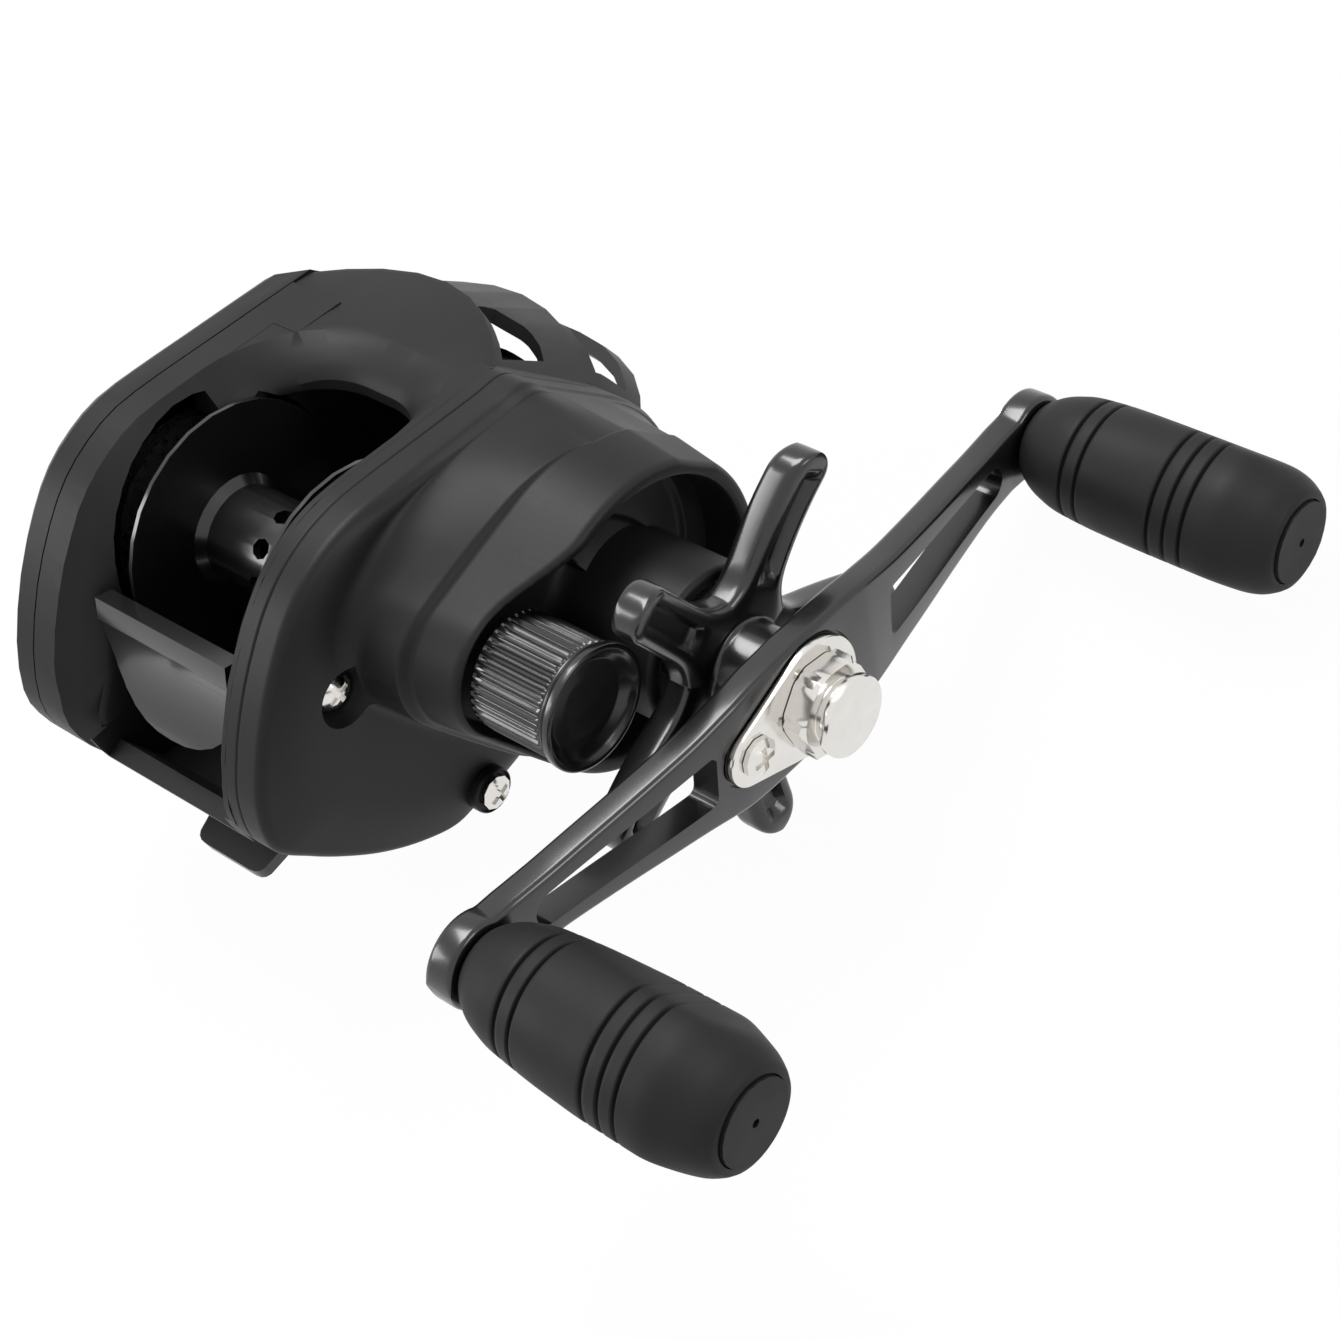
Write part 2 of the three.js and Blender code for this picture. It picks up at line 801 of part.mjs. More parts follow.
// The hood's outer face at X. It starts a step below the arch's edge.
function visorRun(x) {
  const run = frontRun(x);
  const [archY, archZ] = run.at(-1);
  return [...run.slice(0, -1), [archY - visorStep / 2, archZ - visorStep]];
}

function hoodSkin(inset) {
  const [[heelY]] = fromShares(bottomShares.slice(-1));
  return loft(frontStations().map((x) => {
    const run = insetRun(visorRun(x), inset);
    const top = run.at(-1);
    return { x, outline: [[heelY + inset, run[0][1]], ...run, [top[0] - hoodWall * 2, top[1] + hoodWall]] };
  }));
}

function hoodHollow(inset) {
  const half = (wallOuter - frameLeft) / 2 + overrun;
  const middle = (wallOuter + frameLeft) / 2;
  return loft(frontStations().map((x) => {
    const run = insetRun(visorRun(x), inset);
    const top = run.at(-1);
    const outline = [[archRear, run[0][1]], ...run, [top[0] - hoodWall * 4, top[1] + hoodWall * 4]];
    return { x: middle + (x - middle) * half / (half - overrun), outline };
  }));
}

// The window's cutter, along the visor from just below the arch to a curved lower end
function windowBody() {
  return loft(windowAcrossShares.map((share, k) => {
    const x = share * openingHalf;
    const [low, high] = visorRun(x).slice(-2);
    const along = [low[0] - high[0], low[1] - high[1]];
    const deep = [-along[1], along[0]].map((part) => part / Math.hypot(...along) * hoodWall * 2);
    const place = (down, side) => [0, 1].map((axis) => high[axis] + along[axis] * down + deep[axis] * side);
    const end = windowEndShares[k];
    const outline = [place(windowStartShare, -1), place(end, -1), place(end, 1), place(windowStartShare, 1)];
    return { x, outline };
  }));
}

function makeHood() {
  const mouth = block(mouthHalf * 2, noseBulge * 2, mouthHigh - mouthLow, 0, frontReach + noseBulge / 2,
    (mouthHigh + mouthLow) / 2);
  return cutBy(hoodSkin(0), [hoodHollow(hoodWall), archBody(seatGap), windowBody(), mouth]);
}

// Gear side cover: a plate that rises to a drum round the main shaft and a boss round the spool's end

function rayRadius(outline, angle) {
  const direction = [Math.cos(angle), Math.sin(angle)];
  let best = 0;
  outline.forEach(([y0, z0], k) => {
    const [y1, z1] = outline[(k + 1) % outline.length];
    const edge = [y1 - y0, z1 - z0];
    const start = [y0 - coverCentreForward, z0 - coverCentreHeight];
    const cross = direction[0] * edge[1] - direction[1] * edge[0];
    if (cross === 0) return;
    const reach = (start[0] * edge[1] - start[1] * edge[0]) / cross;
    const along = (start[0] * direction[1] - start[1] * direction[0]) / cross;
    if (reach > best && along >= 0 && along <= 1) best = reach;
  });
  return best;
}

function circleRay(radius, y, z, angle) {
  const offset = [y - coverCentreForward, z - coverCentreHeight];
  const along = offset[0] * Math.cos(angle) + offset[1] * Math.sin(angle);
  const aside = offset[1] * Math.cos(angle) - offset[0] * Math.sin(angle);
  const root = radius * radius - aside * aside;
  return root < 0 ? 0 : along + Math.sqrt(root);
}

// The radii of the cover's outlines along one ray from its centre: rim, edge, facet, shoulder and crown
function coverRadii(outline, angle) {
  const rim = rayRadius(outline, angle);
  const drum = circleRay(drumBaseRadius, shaftForward, shaftHeight, angle);
  const boss = circleRay(capBossRadius, 0, spoolHeight, angle);
  const edge = rim * coverEdgeShare;
  const crown = Math.min(Math.max(drum, boss), edge);
  const rearness = Math.sqrt(Math.max(0, Math.cos(angle - Math.PI)));
  const blend = frontBlendShare + (1 - frontBlendShare) * rearness;
  const shoulder = edge + (Math.min(crown * shoulderGrowthShare, edge) - edge) * blend;
  const facet = edge + (shoulder - edge) * coverFacetShare;
  return [rim, edge, facet, shoulder, crown];
}

function coverBody(inset, base, raise) {
  const outline = coverOutline();
  const angles = Array.from({ length: coverRays }, (unused, k) => Math.PI * 2 * k / coverRays);
  const radii = angles.map((angle) => coverRadii(outline, angle));
  const rises = [coverRim, coverFacet, coverShoulder, coverDepth];
  const across = [base, ...rises.map((rise) => coverBase + rise - raise)];
  return loft(across.map((x, layer) => ({
    x,
    outline: angles.map((angle, k) => {
      const radius = radii[k][layer] - inset;
      return [coverCentreForward + radius * Math.cos(angle), coverCentreHeight + radius * Math.sin(angle)];
    }),
  })));
}

function makeCover() {
  const outer = coverBody(0, coverBase, 0);
  const inner = coverBody(coverWall, coverBase - overrun, coverWall);
  const drum = turned([
    [drumRadius - drumRimWidth, coverOuter - overrun], [drumBaseRadius, coverOuter - overrun],
    [drumRadius, drumFace], [drumRadius - drumRimWidth, drumFace],
    [drumRadius - drumRimWidth, coverOuter - overrun],
  ], wideSides, shaftForward, shaftHeight);
  const neck = rod(neckRadius, coverOuter - coverWall / 2, neckFace, roundSides, shaftForward, shaftHeight);
  const castBoss = rod(castBossRadius, coverOuter - coverWall / 2, coverOuter + castBossLength, roundSides,
    0, spoolHeight);
  const scoop = ring(scoopRadius, castBossRadius, coverOuter, drumFace + overrun, roundSides, 0,
    spoolHeight);
  const neckBore = rod(clutchOuter + seatGap, coverOuter - coverWall * 2, neckFace + overrun, hiddenSides,
    shaftForward, shaftHeight);
  const castBore = rod(castBearingRadius + seatGap, coverOuter - coverWall * 2,
    coverOuter + castBossLength + overrun,
    hiddenSides, 0, spoolHeight);
  const shell = outer.subtract(inner);
  const seats = coverScrewPlaces().map(([y, z], k) => coverScrewSeat(y, z, coverScrewSeats()[k]));
  const bosses = coverScrewPlaces().map(([y, z]) => coverScrewBoss(outer, y, z));
  return cutBy(joined([shell, drum, neck, castBoss, ...bosses]), [scoop, neckBore, castBore, ...seats]);
}

// Where each cover screw's head seats, from the rear one to the front one
function coverScrewSeats() {
  return coverScrewRises.map((rise) => coverBase + rise);
}

// The post round a cover screw, from the frame up to the cover's skin
function coverScrewBoss(outer, y, z) {
  const post = rod(sinkRadius + screwBossWall, coverBase, coverOuter, smallSides, y, z);
  return post.intersect(outer);
}

function coverScrewSeat(y, z, seat) {
  return joined([
    rod(coverScrewShank + seatGap, coverBase - overrun, coverOuter + drumRise, smallSides, y, z),
    rod(sinkRadius, seat, coverOuter + drumRise, hiddenSides, y, z),
  ]);
}

function makeCoverScrew(seat) {
  const head = turned([
    [0, seat + seatGap], [coverScrewHeadRadius, seat + seatGap],
    [coverScrewHeadRadius, seat + coverScrewHead * 0.6],
    [coverScrewHeadRadius * 0.6, seat + coverScrewHead], [0, seat + coverScrewHead],
  ], roundSides / 2);
  const shank = rod(coverScrewShank, openingHalf + seatGap, seat + coverScrewHead / 2, smallSides);
  const top = seat + coverScrewHead;
  const slots = [
    block(screwSlotDepth * 2, coverScrewHeadRadius * 1.3, screwSlotWidth, top, 0, 0),
    block(screwSlotDepth * 2, screwSlotWidth, coverScrewHeadRadius * 1.3, top, 0, 0),
  ];
  return cutBy(joined([head, shank]), slots);
}

// Spool with a drilled core, its shaft and the drive pin

function makeSpool() {
  const tubeInner = coreRadius - coreWall;
  const inner = spoolHalf - flangeThickness;
  const bore = spoolShaftRadius + seatGap;
  const profile = [
    [bore, spoolHalf - hubLength], [hubRadius, spoolHalf - hubLength], [hubRadius, inner - flangeThickness],
    [tubeInner, inner - flangeThickness], [tubeInner, -spoolHalf], [flangeRadius, -spoolHalf],
    [flangeRadius, -spoolHalf + flangeThickness / 2], [coreRadius + flangeThickness, -inner],
    [coreRadius, -inner + flangeThickness], [coreRadius, inner - flangeThickness],
    [coreRadius + flangeThickness, inner], [flangeRadius, spoolHalf - flangeThickness / 2],
    [flangeRadius, spoolHalf], [bore, spoolHalf], [bore, spoolHalf - hubLength],
  ];
  const coreDrills = Array.from({ length: coreHoles }, (unused, k) => {
    const drill = standing(coreHoleRadius, (tubeInner + hubRadius) / 2, coreRadius + overrun, 0, 0);
    return drill.rotate([360 * (k + 0.5) / coreHoles, 0, 0]);
  });
  return cutBy(turned(profile, spoolSides), coreDrills);
}

const castShaftEnd = coverOuter + castBossLength - seatGap;
const palmShaftEnd = frameLeft + palmHubLength - bearingWidth - seatGap;

function makeSpoolShaft() {
  const bar = turned([
    [0, palmShaftEnd], [spoolJournalRadius, palmShaftEnd],
    [spoolJournalRadius, -spoolHalf - flangeThickness],
    [spoolShaftRadius, -spoolHalf], [spoolShaftRadius, spoolHalf + flangeThickness],
    [spoolJournalRadius, spoolHalf + flangeThickness * 1.5], [spoolJournalRadius, castShaftEnd],
    [0, castShaftEnd],
  ], hiddenSides);
  return bar.subtract(standing(pinRadius + seatGap, -pinLength, pinLength, pinAcross, 0));
}

// Bearings and bushes

function makeBearing(outer, inner, from, width) {
  const step = width * 0.12;
  const third = (outer - inner) / 3;
  return turned([
    [inner, from], [inner + third, from], [inner + third, from + step], [outer - third, from + step],
    [outer - third, from], [outer, from], [outer, from + width], [inner, from + width], [inner, from],
  ], hiddenSides);
}

// Gears with straight-sided teeth. One tooth points along the phase angle.

function gearOutline(teeth, pitchRadius, phase) {
  const module_ = 2 * pitchRadius / teeth;
  const tip = pitchRadius + module_ * addendumShare;
  const root = pitchRadius - module_ * dedendumShare;
  const pitch = Math.PI * 2 / teeth;
  const corners = [[root, -rootHalfShare], [tip, -tipHalfShare], [tip, tipHalfShare], [root, rootHalfShare]];
  return Array.from({ length: teeth }, (unused, k) => corners.map(([radius, share]) => {
    const angle = phase + (k + share) * pitch;
    return [radius * Math.cos(angle), radius * Math.sin(angle)];
  })).flat();
}

const shaftSpacing = Math.hypot(shaftForward, shaftDrop);
const drivePitch = shaftSpacing * driveTeeth / (driveTeeth + pinionTeeth);
const pinionPitch = shaftSpacing - drivePitch;
const pinionPhase = bearingAngle + Math.PI + Math.PI / pinionTeeth;
const wormOffset = [wormForward - shaftForward, wormHeight - shaftHeight];
const wormSpacing = Math.hypot(...wormOffset);
const windDrivePitch = wormSpacing * windDriveTeeth / (windDriveTeeth + wormTeeth);
const wormPitch = wormSpacing - windDrivePitch;
const wormAngle = Math.atan2(wormOffset[1], wormOffset[0]);

function makeDriveGear() {
  const outer = driveGearAcross + driveGearWidth;
  const blank = prism(gearOutline(driveTeeth, drivePitch, bearingAngle), driveGearAcross, outer);
  return cutBy(blank, [
    rod(shaftRadius + seatGap, driveGearAcross - overrun, outer + overrun),
    rod(dragRadius + seatGap, outer - dragPocket, outer + overrun, hiddenSides),
  ]);
}

function makePinion() {
  const start = wallOuter - seatGap;
  const grooveStart = start + pinionCollar;
  const teethStart = grooveStart + pinionGroove;
  const end = teethStart + pinionLength;
  const body = turned([
    [0, start], [pinionCollarRadius, start], [pinionCollarRadius, grooveStart],
    [pinionGrooveRadius, grooveStart],
    [pinionGrooveRadius, teethStart], [0, teethStart],
  ]);
  const teeth = prism(gearOutline(pinionTeeth, pinionPitch, pinionPhase), teethStart, end);
  const slot = block((pinAcross + pinRadius * 2 - start) * 2, pinionCollarRadius * 3,
    pinRadius * 2 + seatGap * 5,
    start, 0, 0);
  return cutBy(joined([body, teeth]), [
    rod(spoolJournalRadius + runningGap, start - overrun, end + overrun, hiddenSides),
    slot.rotate([90, 0, 0]),
  ]);
}

function makeWindGear(teeth, pitchRadius, phase, bore, from) {
  return prism(gearOutline(teeth, pitchRadius, phase), from, from + windGearWidth).subtract(
    rod(bore + seatGap, from - overrun, from + windGearWidth + overrun, hiddenSides));
}

// Main shaft, ratchet, drag stack and one-way clutch

const windGearAcross = wallOuter + seam * 3;
const shaftFlangeAcross = windGearAcross + windGearWidth + seatGap;
const ratchetAcross = shaftFlangeAcross + shaftFlange + seatGap;
const dragFloor = driveGearAcross + driveGearWidth - dragPocket;
const starAcross = neckFace + seam * 3;
const armBackAcross = armFrontAcross - armThickness;
const shaftEnd = armFrontAcross + plateThickness + nutHeight * 0.9;

function makeDriveShaft() {
  return turned([
    [0, openingHalf + seatGap], [shaftJournalRadius, openingHalf + seatGap],
    [shaftJournalRadius, windGearAcross - seatGap], [shaftRadius, windGearAcross - seatGap],
    [shaftRadius, shaftFlangeAcross], [shaftFlangeRadius, shaftFlangeAcross],
    [shaftFlangeRadius, shaftFlangeAcross + shaftFlange], [shaftRadius, shaftFlangeAcross + shaftFlange],
    [shaftRadius, shaftEnd], [0, shaftEnd],
  ], hiddenSides);
}

function makeRatchet() {
  const outline = Array.from({ length: ratchetTeeth }, (unused, k) => {
    const start = Math.PI * 2 * k / ratchetTeeth;
    const next = start + Math.PI * 1.9 / ratchetTeeth;
    return [
      [ratchetRadius * Math.cos(start), ratchetRadius * Math.sin(start)],
      [(ratchetRadius - ratchetTooth) * Math.cos(next), (ratchetRadius - ratchetTooth) * Math.sin(next)],
    ];
  }).flat();
  return prism(outline, ratchetAcross, ratchetAcross + ratchetThickness).subtract(
    rod(shaftRadius + seatGap, ratchetAcross - overrun, ratchetAcross + ratchetThickness + overrun));
}

function makeWasher(outer, from, thickness) {
  return ring(outer, shaftRadius + seatGap, from, from + thickness, hiddenSides);
}

function makeEaredWasher(from) {
  const ears = [0, 1, 2, 3].map((k) => (
    block(dragWasher, pinionCollarRadius, pinionCollarRadius, from + dragWasher / 2,
      dragRadius - pinionCollarRadius, 0)
      .rotate([90 * k, 0, 0])));
  return joined([makeWasher(dragRadius - pinionCollarRadius, from, dragWasher), ...ears]);
}

function makeSpringWasher(from) {
  const inner = shaftRadius + seatGap;
  const edge = from + springWasherRise;
  return turned([
    [inner, from], [springWasherRadius, edge], [springWasherRadius, edge + springWasherThickness],
    [inner, from + springWasherThickness], [inner, from],
  ], hiddenSides);
}

// Star drag: five channelled paddles that lean out towards the handle

function starSection(radius) {
  const share = Math.max(0, (radius - starHubRadius) / (starReach - starHubRadius));
  const back = starAcross + starLean * share * share;
  const tipShare = Math.max(0, (radius - starReach + starArmHalf) / starArmHalf);
  const root = Math.max(0, 1 - share * 3) * (starRootShare - 1);
  const half = starArmHalf * (1 + root) * Math.sqrt(Math.max(1 - tipShare * tipShare, starTipShare));
  const front = back + starThickness * (1 - tipShare * starTipShare);
  const grooved = radius > starHubRadius && tipShare < starTipShare;
  const groove = grooved ? starGrooveHalf : starGrooveHalf / 2;
  const floor = front - (grooved ? starGrooveDepth : starGrooveDepth / 8);
  const corner = half * 0.8;
  return [
    [back, -corner], [back, corner], [back + starBevel, half], [front - starBevel, half], [front, corner],
    [front, groove], [floor, groove * 0.7], [floor, -groove * 0.7], [front, -groove],
    [front, -corner], [front - starBevel, -half], [back + starBevel, -half],
  ].map(([across, side]) => [-across, side]);
}

function makeStarArm() {
  const stations = starStationShares.map((share) => share * starReach);
  return loft(stations.map((radius) => ({ x: radius, outline: starSection(radius) }))).rotate([0, 0, 90]);
}

function makeStar() {
  const front = starAcross + starThickness;
  const arm = makeStarArm();
  const arms = Array.from({ length: starArms }, (unused, k) => arm.rotate([360 * k / starArms, 0, 0]));
  const hub = rod(starHubRadius, starAcross, front);
  const collar = rod(starCollarRadius, front - overrun, armBackAcross - seam, hiddenSides);
  const bore = rod(shaftRadius + runningGap, starAcross - overrun, armBackAcross + overrun, hiddenSides);
  return joined([...arms, hub, collar]).subtract(bore);
}

// Handle arm, its retainer plate, screw and nut

const handleHalf = handleSpan / 2;

// Half widths of the arm at rising distances from its middle, ending in a round boss
function armEdge() {
  const stations = armStationShares.map((share, k) => [share * handleHalf, armHalfWidths[k]]);
  const boss = armBossAngles.map((angle) => [
    handleHalf + armBossRadius * Math.cos(degrees(angle)),
    armBossRadius * Math.sin(degrees(angle)),
  ]);
  return [...stations, ...boss];
}

function armSection(along, half) {
  const run = armStationShares.at(-1) * handleHalf - armFlatHalf;
  const share = THREE.MathUtils.clamp((Math.abs(along) - armFlatHalf) / run, 0, 1);
  const front = armFrontAcross - armBow * share;
  const back = front - armThickness;
  const edge = half - Math.min(armBevel, half / 2);
  return [
    [back, -half], [back, half], [front - armBevel, half], [front, edge], [front, -edge],
    [front - armBevel, -half],
  ].map(([across, side]) => [-across, side]);
}

function armSlot(side) {
  const start = slotStartShare * handleHalf;
  const end = slotEndShare * handleHalf;
  const steps = 4;
  const edge = (sign) => Array.from({ length: steps + 1 }, (unused, k) => {
    const share = sign > 0 ? 1 - k / steps : k / steps;
    return [start + (end - start) * share, sign * (slotStartHalf + (slotEndHalf - slotStartHalf) * share)];
  });
  const tip = arcPoints(slotEndHalf, -Math.PI / 2, Math.PI / 2, 4, end).slice(1, -1);
  const outline = [...edge(-1), ...tip, ...edge(1)];
  const turnedOutline = side > 0 ? outline : outline.map(([s, n]) => [-s, -n]);
  return prism(turnedOutline, armBackAcross - armBow - overrun, armFrontAcross + overrun);
}

function makeArm() {
  const recess = prism(twoCircleOutline(plateRadius + plateMargin, plateTipRadius + plateMargin,
    plateTipOffset, 10),
    armFrontAcross - plateRecess, armFrontAcross + overrun);
  const edge = armEdge();
  const sections = [...edge.slice(1).reverse().map(([along, half]) => [-along, half]), ...edge];
  const arm = loft(sections.map(([along, half]) => ({ x: along, outline: armSection(along, half) })));
  return cutBy(arm.rotate([0, 0, 90]), [
    armSlot(1), armSlot(-1), recess,
    rod(shaftRadius + seatGap, armBackAcross - overrun, armFrontAcross + overrun, hiddenSides),
    rod(retainerShank + seatGap, armBackAcross - overrun, armFrontAcross + overrun, smallSides,
      -plateTipOffset),
    ...[-handleHalf, handleHalf].map((reach) => (
      rod(spindleRadius + seatGap, armBackAcross - armBow - overrun, armFrontAcross, hiddenSides, reach))),
  ]);
}

const plateAcross = armFrontAcross - plateRecess + seatGap;
const plateFace = plateAcross + plateThickness;

function makeRetainerPlate() {
  const outline = twoCircleOutline(plateRadius, plateTipRadius, plateTipOffset, 14);
  return cutBy(prism(outline, plateAcross, plateFace), [
    rod(shaftRadius + seatGap, plateAcross - overrun, plateFace + overrun),
    rod(retainerShank + seatGap, plateAcross - overrun, plateFace + overrun, smallSides, -plateTipOffset),
  ]);
}

function makeRetainerScrew() {
  const seat = plateFace + seatGap;
  const top = seat + retainerHead;
  const head = turned([
    [0, seat], [retainerHeadRadius, seat], [retainerHeadRadius, seat + retainerHead * 0.5],
    [retainerHeadRadius * 0.6, top], [0, top],
  ], roundSides / 2);
  const slots = [
    block(screwSlotDepth * 2, retainerHeadRadius * 1.3, screwSlotWidth, top, 0, 0),
    block(screwSlotDepth * 2, screwSlotWidth, retainerHeadRadius * 1.3, top, 0, 0),
  ];
  return cutBy(joined([head, rod(retainerShank, armBackAcross + seatGap, seat + overrun / 2,
    smallSides)]), slots);
}

function makeNut() {
  const seat = plateFace + seatGap;
  const hex = prism(arcPoints(nutCorner, 0, Math.PI * 5 / 3, 5), seat, seat + nutHeight);
  const neckEnd = seat + nutHeight + nutNeck;
  const nose = turned([
    [0, seat], [nutNeckRadius, seat], [nutNeckRadius, neckEnd], [nutNoseRadius, neckEnd],
    [nutNoseRadius, neckEnd + nutNose * 0.8], [nutNoseRadius * 0.93, neckEnd + nutNose],
    [0, neckEnd + nutNose],
  ]);
  return joined([hex, nose]).subtract(rod(shaftRadius + seatGap, seat - overrun, shaftEnd + seatGap));
}

// Knobs with grooved grips, on spindles riveted to the arm

const bossFrontAcross = armFrontAcross - armBow;
const knobBaseAcross = bossFrontAcross + seam * 2;
const knobFace = knobBaseAcross + knobLength;

function knobProfile() {
  const plain = knobStationShares.map((share, k) => [share * knobLength, knobRadiusShares[k] * knobRadius]);
  const radiusAt = (station) => {
    const next = plain.findIndex(([place]) => place >= station);
    const [[s0, r0], [s1, r1]] = [plain[next - 1], plain[next]];
    return r0 + (r1 - r0) * (station - s0) / (s1 - s0);
  };
  const grooves = knobGrooveShares.flatMap((share) => {
    const middle = share * knobLength;
    const [low, high] = [middle - knobGrooveHalf, middle + knobGrooveHalf];
    return [[low, radiusAt(low)], [middle, radiusAt(middle) - knobGrooveDepth], [high, radiusAt(high)]];
  });
  const kept = plain.filter(([place]) => (
    grooves.every(([groove]) => Math.abs(groove - place) > knobGrooveHalf)));
  const ordered = [...kept, ...grooves].sort((a, b) => a[0] - b[0]);
  return ordered.map(([station, radius]) => [radius, knobFace - station]);
}

function makeKnob() {
  const outer = knobProfile();
  const base = outer.at(-1)[1];
  const pocketFloor = knobFace - capPocket;
  const pocket = capRadius + capGap;
  const profile = [
    ...outer, [knobBore, base], [knobBore, pocketFloor], [pocket, pocketFloor],
    [pocket, outer[0][1]], outer[0],
  ];
  const body = turned(profile, knobSides);
  const half = knobRadius * knobFlatShare;
  const slab = block(knobLength * 2, half * 2, knobRadius * 4, knobFace - knobLength / 2, 0, 0);
  return body.intersect(slab.rotate([knobFlatTurn, 0, 0]));
}

function makeKnobCap() {
  const back = knobFace - capThickness;
  return turned([[0, back], [capRadius, back], [capRadius, knobFace], [capHoleRadius, knobFace],
    [capHoleRadius, knobFace - capThickness / 2], [0, knobFace - capThickness / 2]]);
}

function makeSpindle() {
  const back = bossFrontAcross - armThickness;
  const end = knobFace - capPocket - seatGap;
  const head = rod(spindleHeadRadius, back - spindleHead - seatGap, back - seatGap);
  const bar = rod(spindleRadius, back - spindleHead / 2, end);
  return joined([head, bar]).subtract(
    rod(knobScrewShank + seatGap, end - knobScrewLength - seatGap, end + overrun, smallSides));
}

function makeKnobScrew() {
  const seat = knobFace - capPocket + seatGap;
  const head = rod(knobScrewHeadRadius, seat, seat + knobScrewHead);
  const shank = rod(knobScrewShank, seat - knobScrewLength, seat + knobScrewHead / 2, smallSides);
  const slot = block(screwSlotDepth, knobScrewHeadRadius * 3, screwSlotWidth, seat + knobScrewHead, 0, 0);
  return joined([head, shank]).subtract(slot);
}

// Cast control cap over the spool shaft's end

const castCapBase = coverOuter + seam * 2;
const castCapFace = castCapBase + castCapLength;

function makeCastCap() {
  const knurlEnd = castCapFace - castCapDish;
  const knurl = prism(ridgedOutline(castCapRadius, castCapRidge, castCapRidges), castCapBase, knurlEnd);
  const rimRadius = castCapRadius + castCapFlare;
  const rim = turned([
    [0, knurlEnd - overrun], [castCapRadius - castCapRidge, knurlEnd - overrun],
    [rimRadius, castCapFace - castCapRim],
    [rimRadius - castCapRim / 2, castCapFace], [rimRadius - castCapRim, castCapFace],
    [rimRadius - castCapRim * 2, castCapFace - castCapRim], [0, castCapFace - castCapDish],
  ]);
  const bore = rod(castCapBore, castCapBase - overrun, knurlEnd - castCapEnd);
  return joined([knurl, rim]).subtract(bore);
}

// Thumb bar: a half-round paddle behind the spool. It slides down its own slope.

const thumbLugEnd = thumbLugDown + thumbLugLength;
const slope = degrees(thumbSlope);
const slopeDown = [-Math.cos(slope), -Math.sin(slope)];
const slopeIn = [Math.sin(slope), -Math.cos(slope)];

function onSlope(down, deep) {
  return [
    -thumbTopRear + slopeDown[0] * down + slopeIn[0] * deep,
    thumbTopHeight + slopeDown[1] * down + slopeIn[1] * deep,
  ];
}

function slopeBar(x0, x1, down0, down1, deep0, deep1) {
  return prism([onSlope(down0, deep0), onSlope(down0, deep1), onSlope(down1, deep1), onSlope(down1, deep0)]
    .reverse(), x0, x1);
}

function makeThumbBar() {
  const half = openingHalf - thumbSideGap;
  const shape = new THREE.Shape();
  shape.moveTo(-half, 0);
  shape.lineTo(half, 0);
  shape.lineTo(half, thumbLength * 0.2);
  shape.bezierCurveTo(half, thumbLength * 0.85, half * 0.5, thumbLength, 0, thumbLength);
  shape.bezierCurveTo(-half * 0.5, thumbLength, -half, thumbLength * 0.85, -half, thumbLength * 0.2);
  const geometry = new THREE.ExtrudeGeometry(shape, { depth: thumbThickness, bevelEnabled: false,
    curveSegments: 7 });
  const [originY, originZ] = onSlope(0, 0);
  geometry.applyMatrix4(new THREE.Matrix4().makeBasis(
    new THREE.Vector3(1, 0, 0),
    new THREE.Vector3(0, ...slopeDown),
    new THREE.Vector3(0, ...slopeIn),
  ));
  geometry.translate(0, originY, originZ);
  const lug = slopeBar(0, wallOuter + seatGap * 3, thumbLugDown, thumbLugEnd, thumbThickness / 4,
    thumbThickness / 4 + thumbLugWidth);
  return joined([solid(geometry), lug]);
}

function thumbLugSlot() {
  const margin = seatGap * 4;
  return slopeBar(openingHalf - overrun, wallOuter + overrun, thumbLugDown - margin,
    thumbLugEnd + thumbTravel + margin, thumbThickness / 4 - margin,
    thumbThickness / 4 + thumbLugWidth + margin);
}

function makeClutchCam() {
  const from = wallOuter + seatGap * 4;
  const [heelY, heelZ] = onSlope(thumbLugEnd, 0);
  const armTop = heelZ - camDrop;
  const toeY = yokePlaces()[0][0] - postRadius - thumbSideGap;
  return prism([
    onSlope(thumbLugDown, camWidth), onSlope(thumbLugDown, thumbThickness / 4), [heelY, heelZ],
    [heelY, armTop - camWidth], [toeY, armTop - camWidth], [toeY, armTop],
    [heelY + camWidth, armTop], onSlope(thumbLugEnd, camWidth),
  ], from, from + camThickness);
}

function yokePlaces() {
  const turn = bearingAngle - Math.PI / 2;
  return [-yokeSpread, yokeSpread].map((spread) => [spread * Math.cos(turn), spread * Math.sin(turn)]);
}

const yokeAcross = wallOuter - seatGap + pinionCollar + (pinionGroove - yokeThickness) / 2;

function makeYoke() {
  const end = yokeAcross + yokeThickness;
  const places = yokePlaces();
  const bar = prism(capsule(yokeHalf, places[0], places[1]), yokeAcross, end);
  const middle = rod(pinionGrooveRadius + yokeHalf, yokeAcross, end);
  const holes = places.map(([y, z]) => (
    rod(postRadius + runningGap, yokeAcross - overrun, end + overrun, smallSides, y, z)));
  const away = [-Math.cos(bearingAngle), -Math.sin(bearingAngle)];
  const reach = pinionCollarRadius * 2;
  const mouth = prism(capsule(pinionGrooveRadius + runningGap, [0, 0], [away[0] * reach, away[1] * reach],
    hiddenSides / 2), yokeAcross - overrun, end + overrun);
  return cutBy(joined([bar, middle]), [mouth, ...holes]);
}

function makePost() {
  const end = openingHalf + seatGap + postLength + postHead;
  return joined([
    rod(postRadius, openingHalf + seatGap, end, smallSides),
    rod(postHeadRadius, end - postHead, end, smallSides),
  ]);
}

// The spring rides with the yoke at its pressed length, so the yoke's travel is free in front of it
function makeYokeSpring() {
  const end = openingHalf + postLength - yokeTravel;
  return ring(springOuter, springOuter - springWire, yokeAcross + yokeThickness + seatGap, end, smallSides);
}

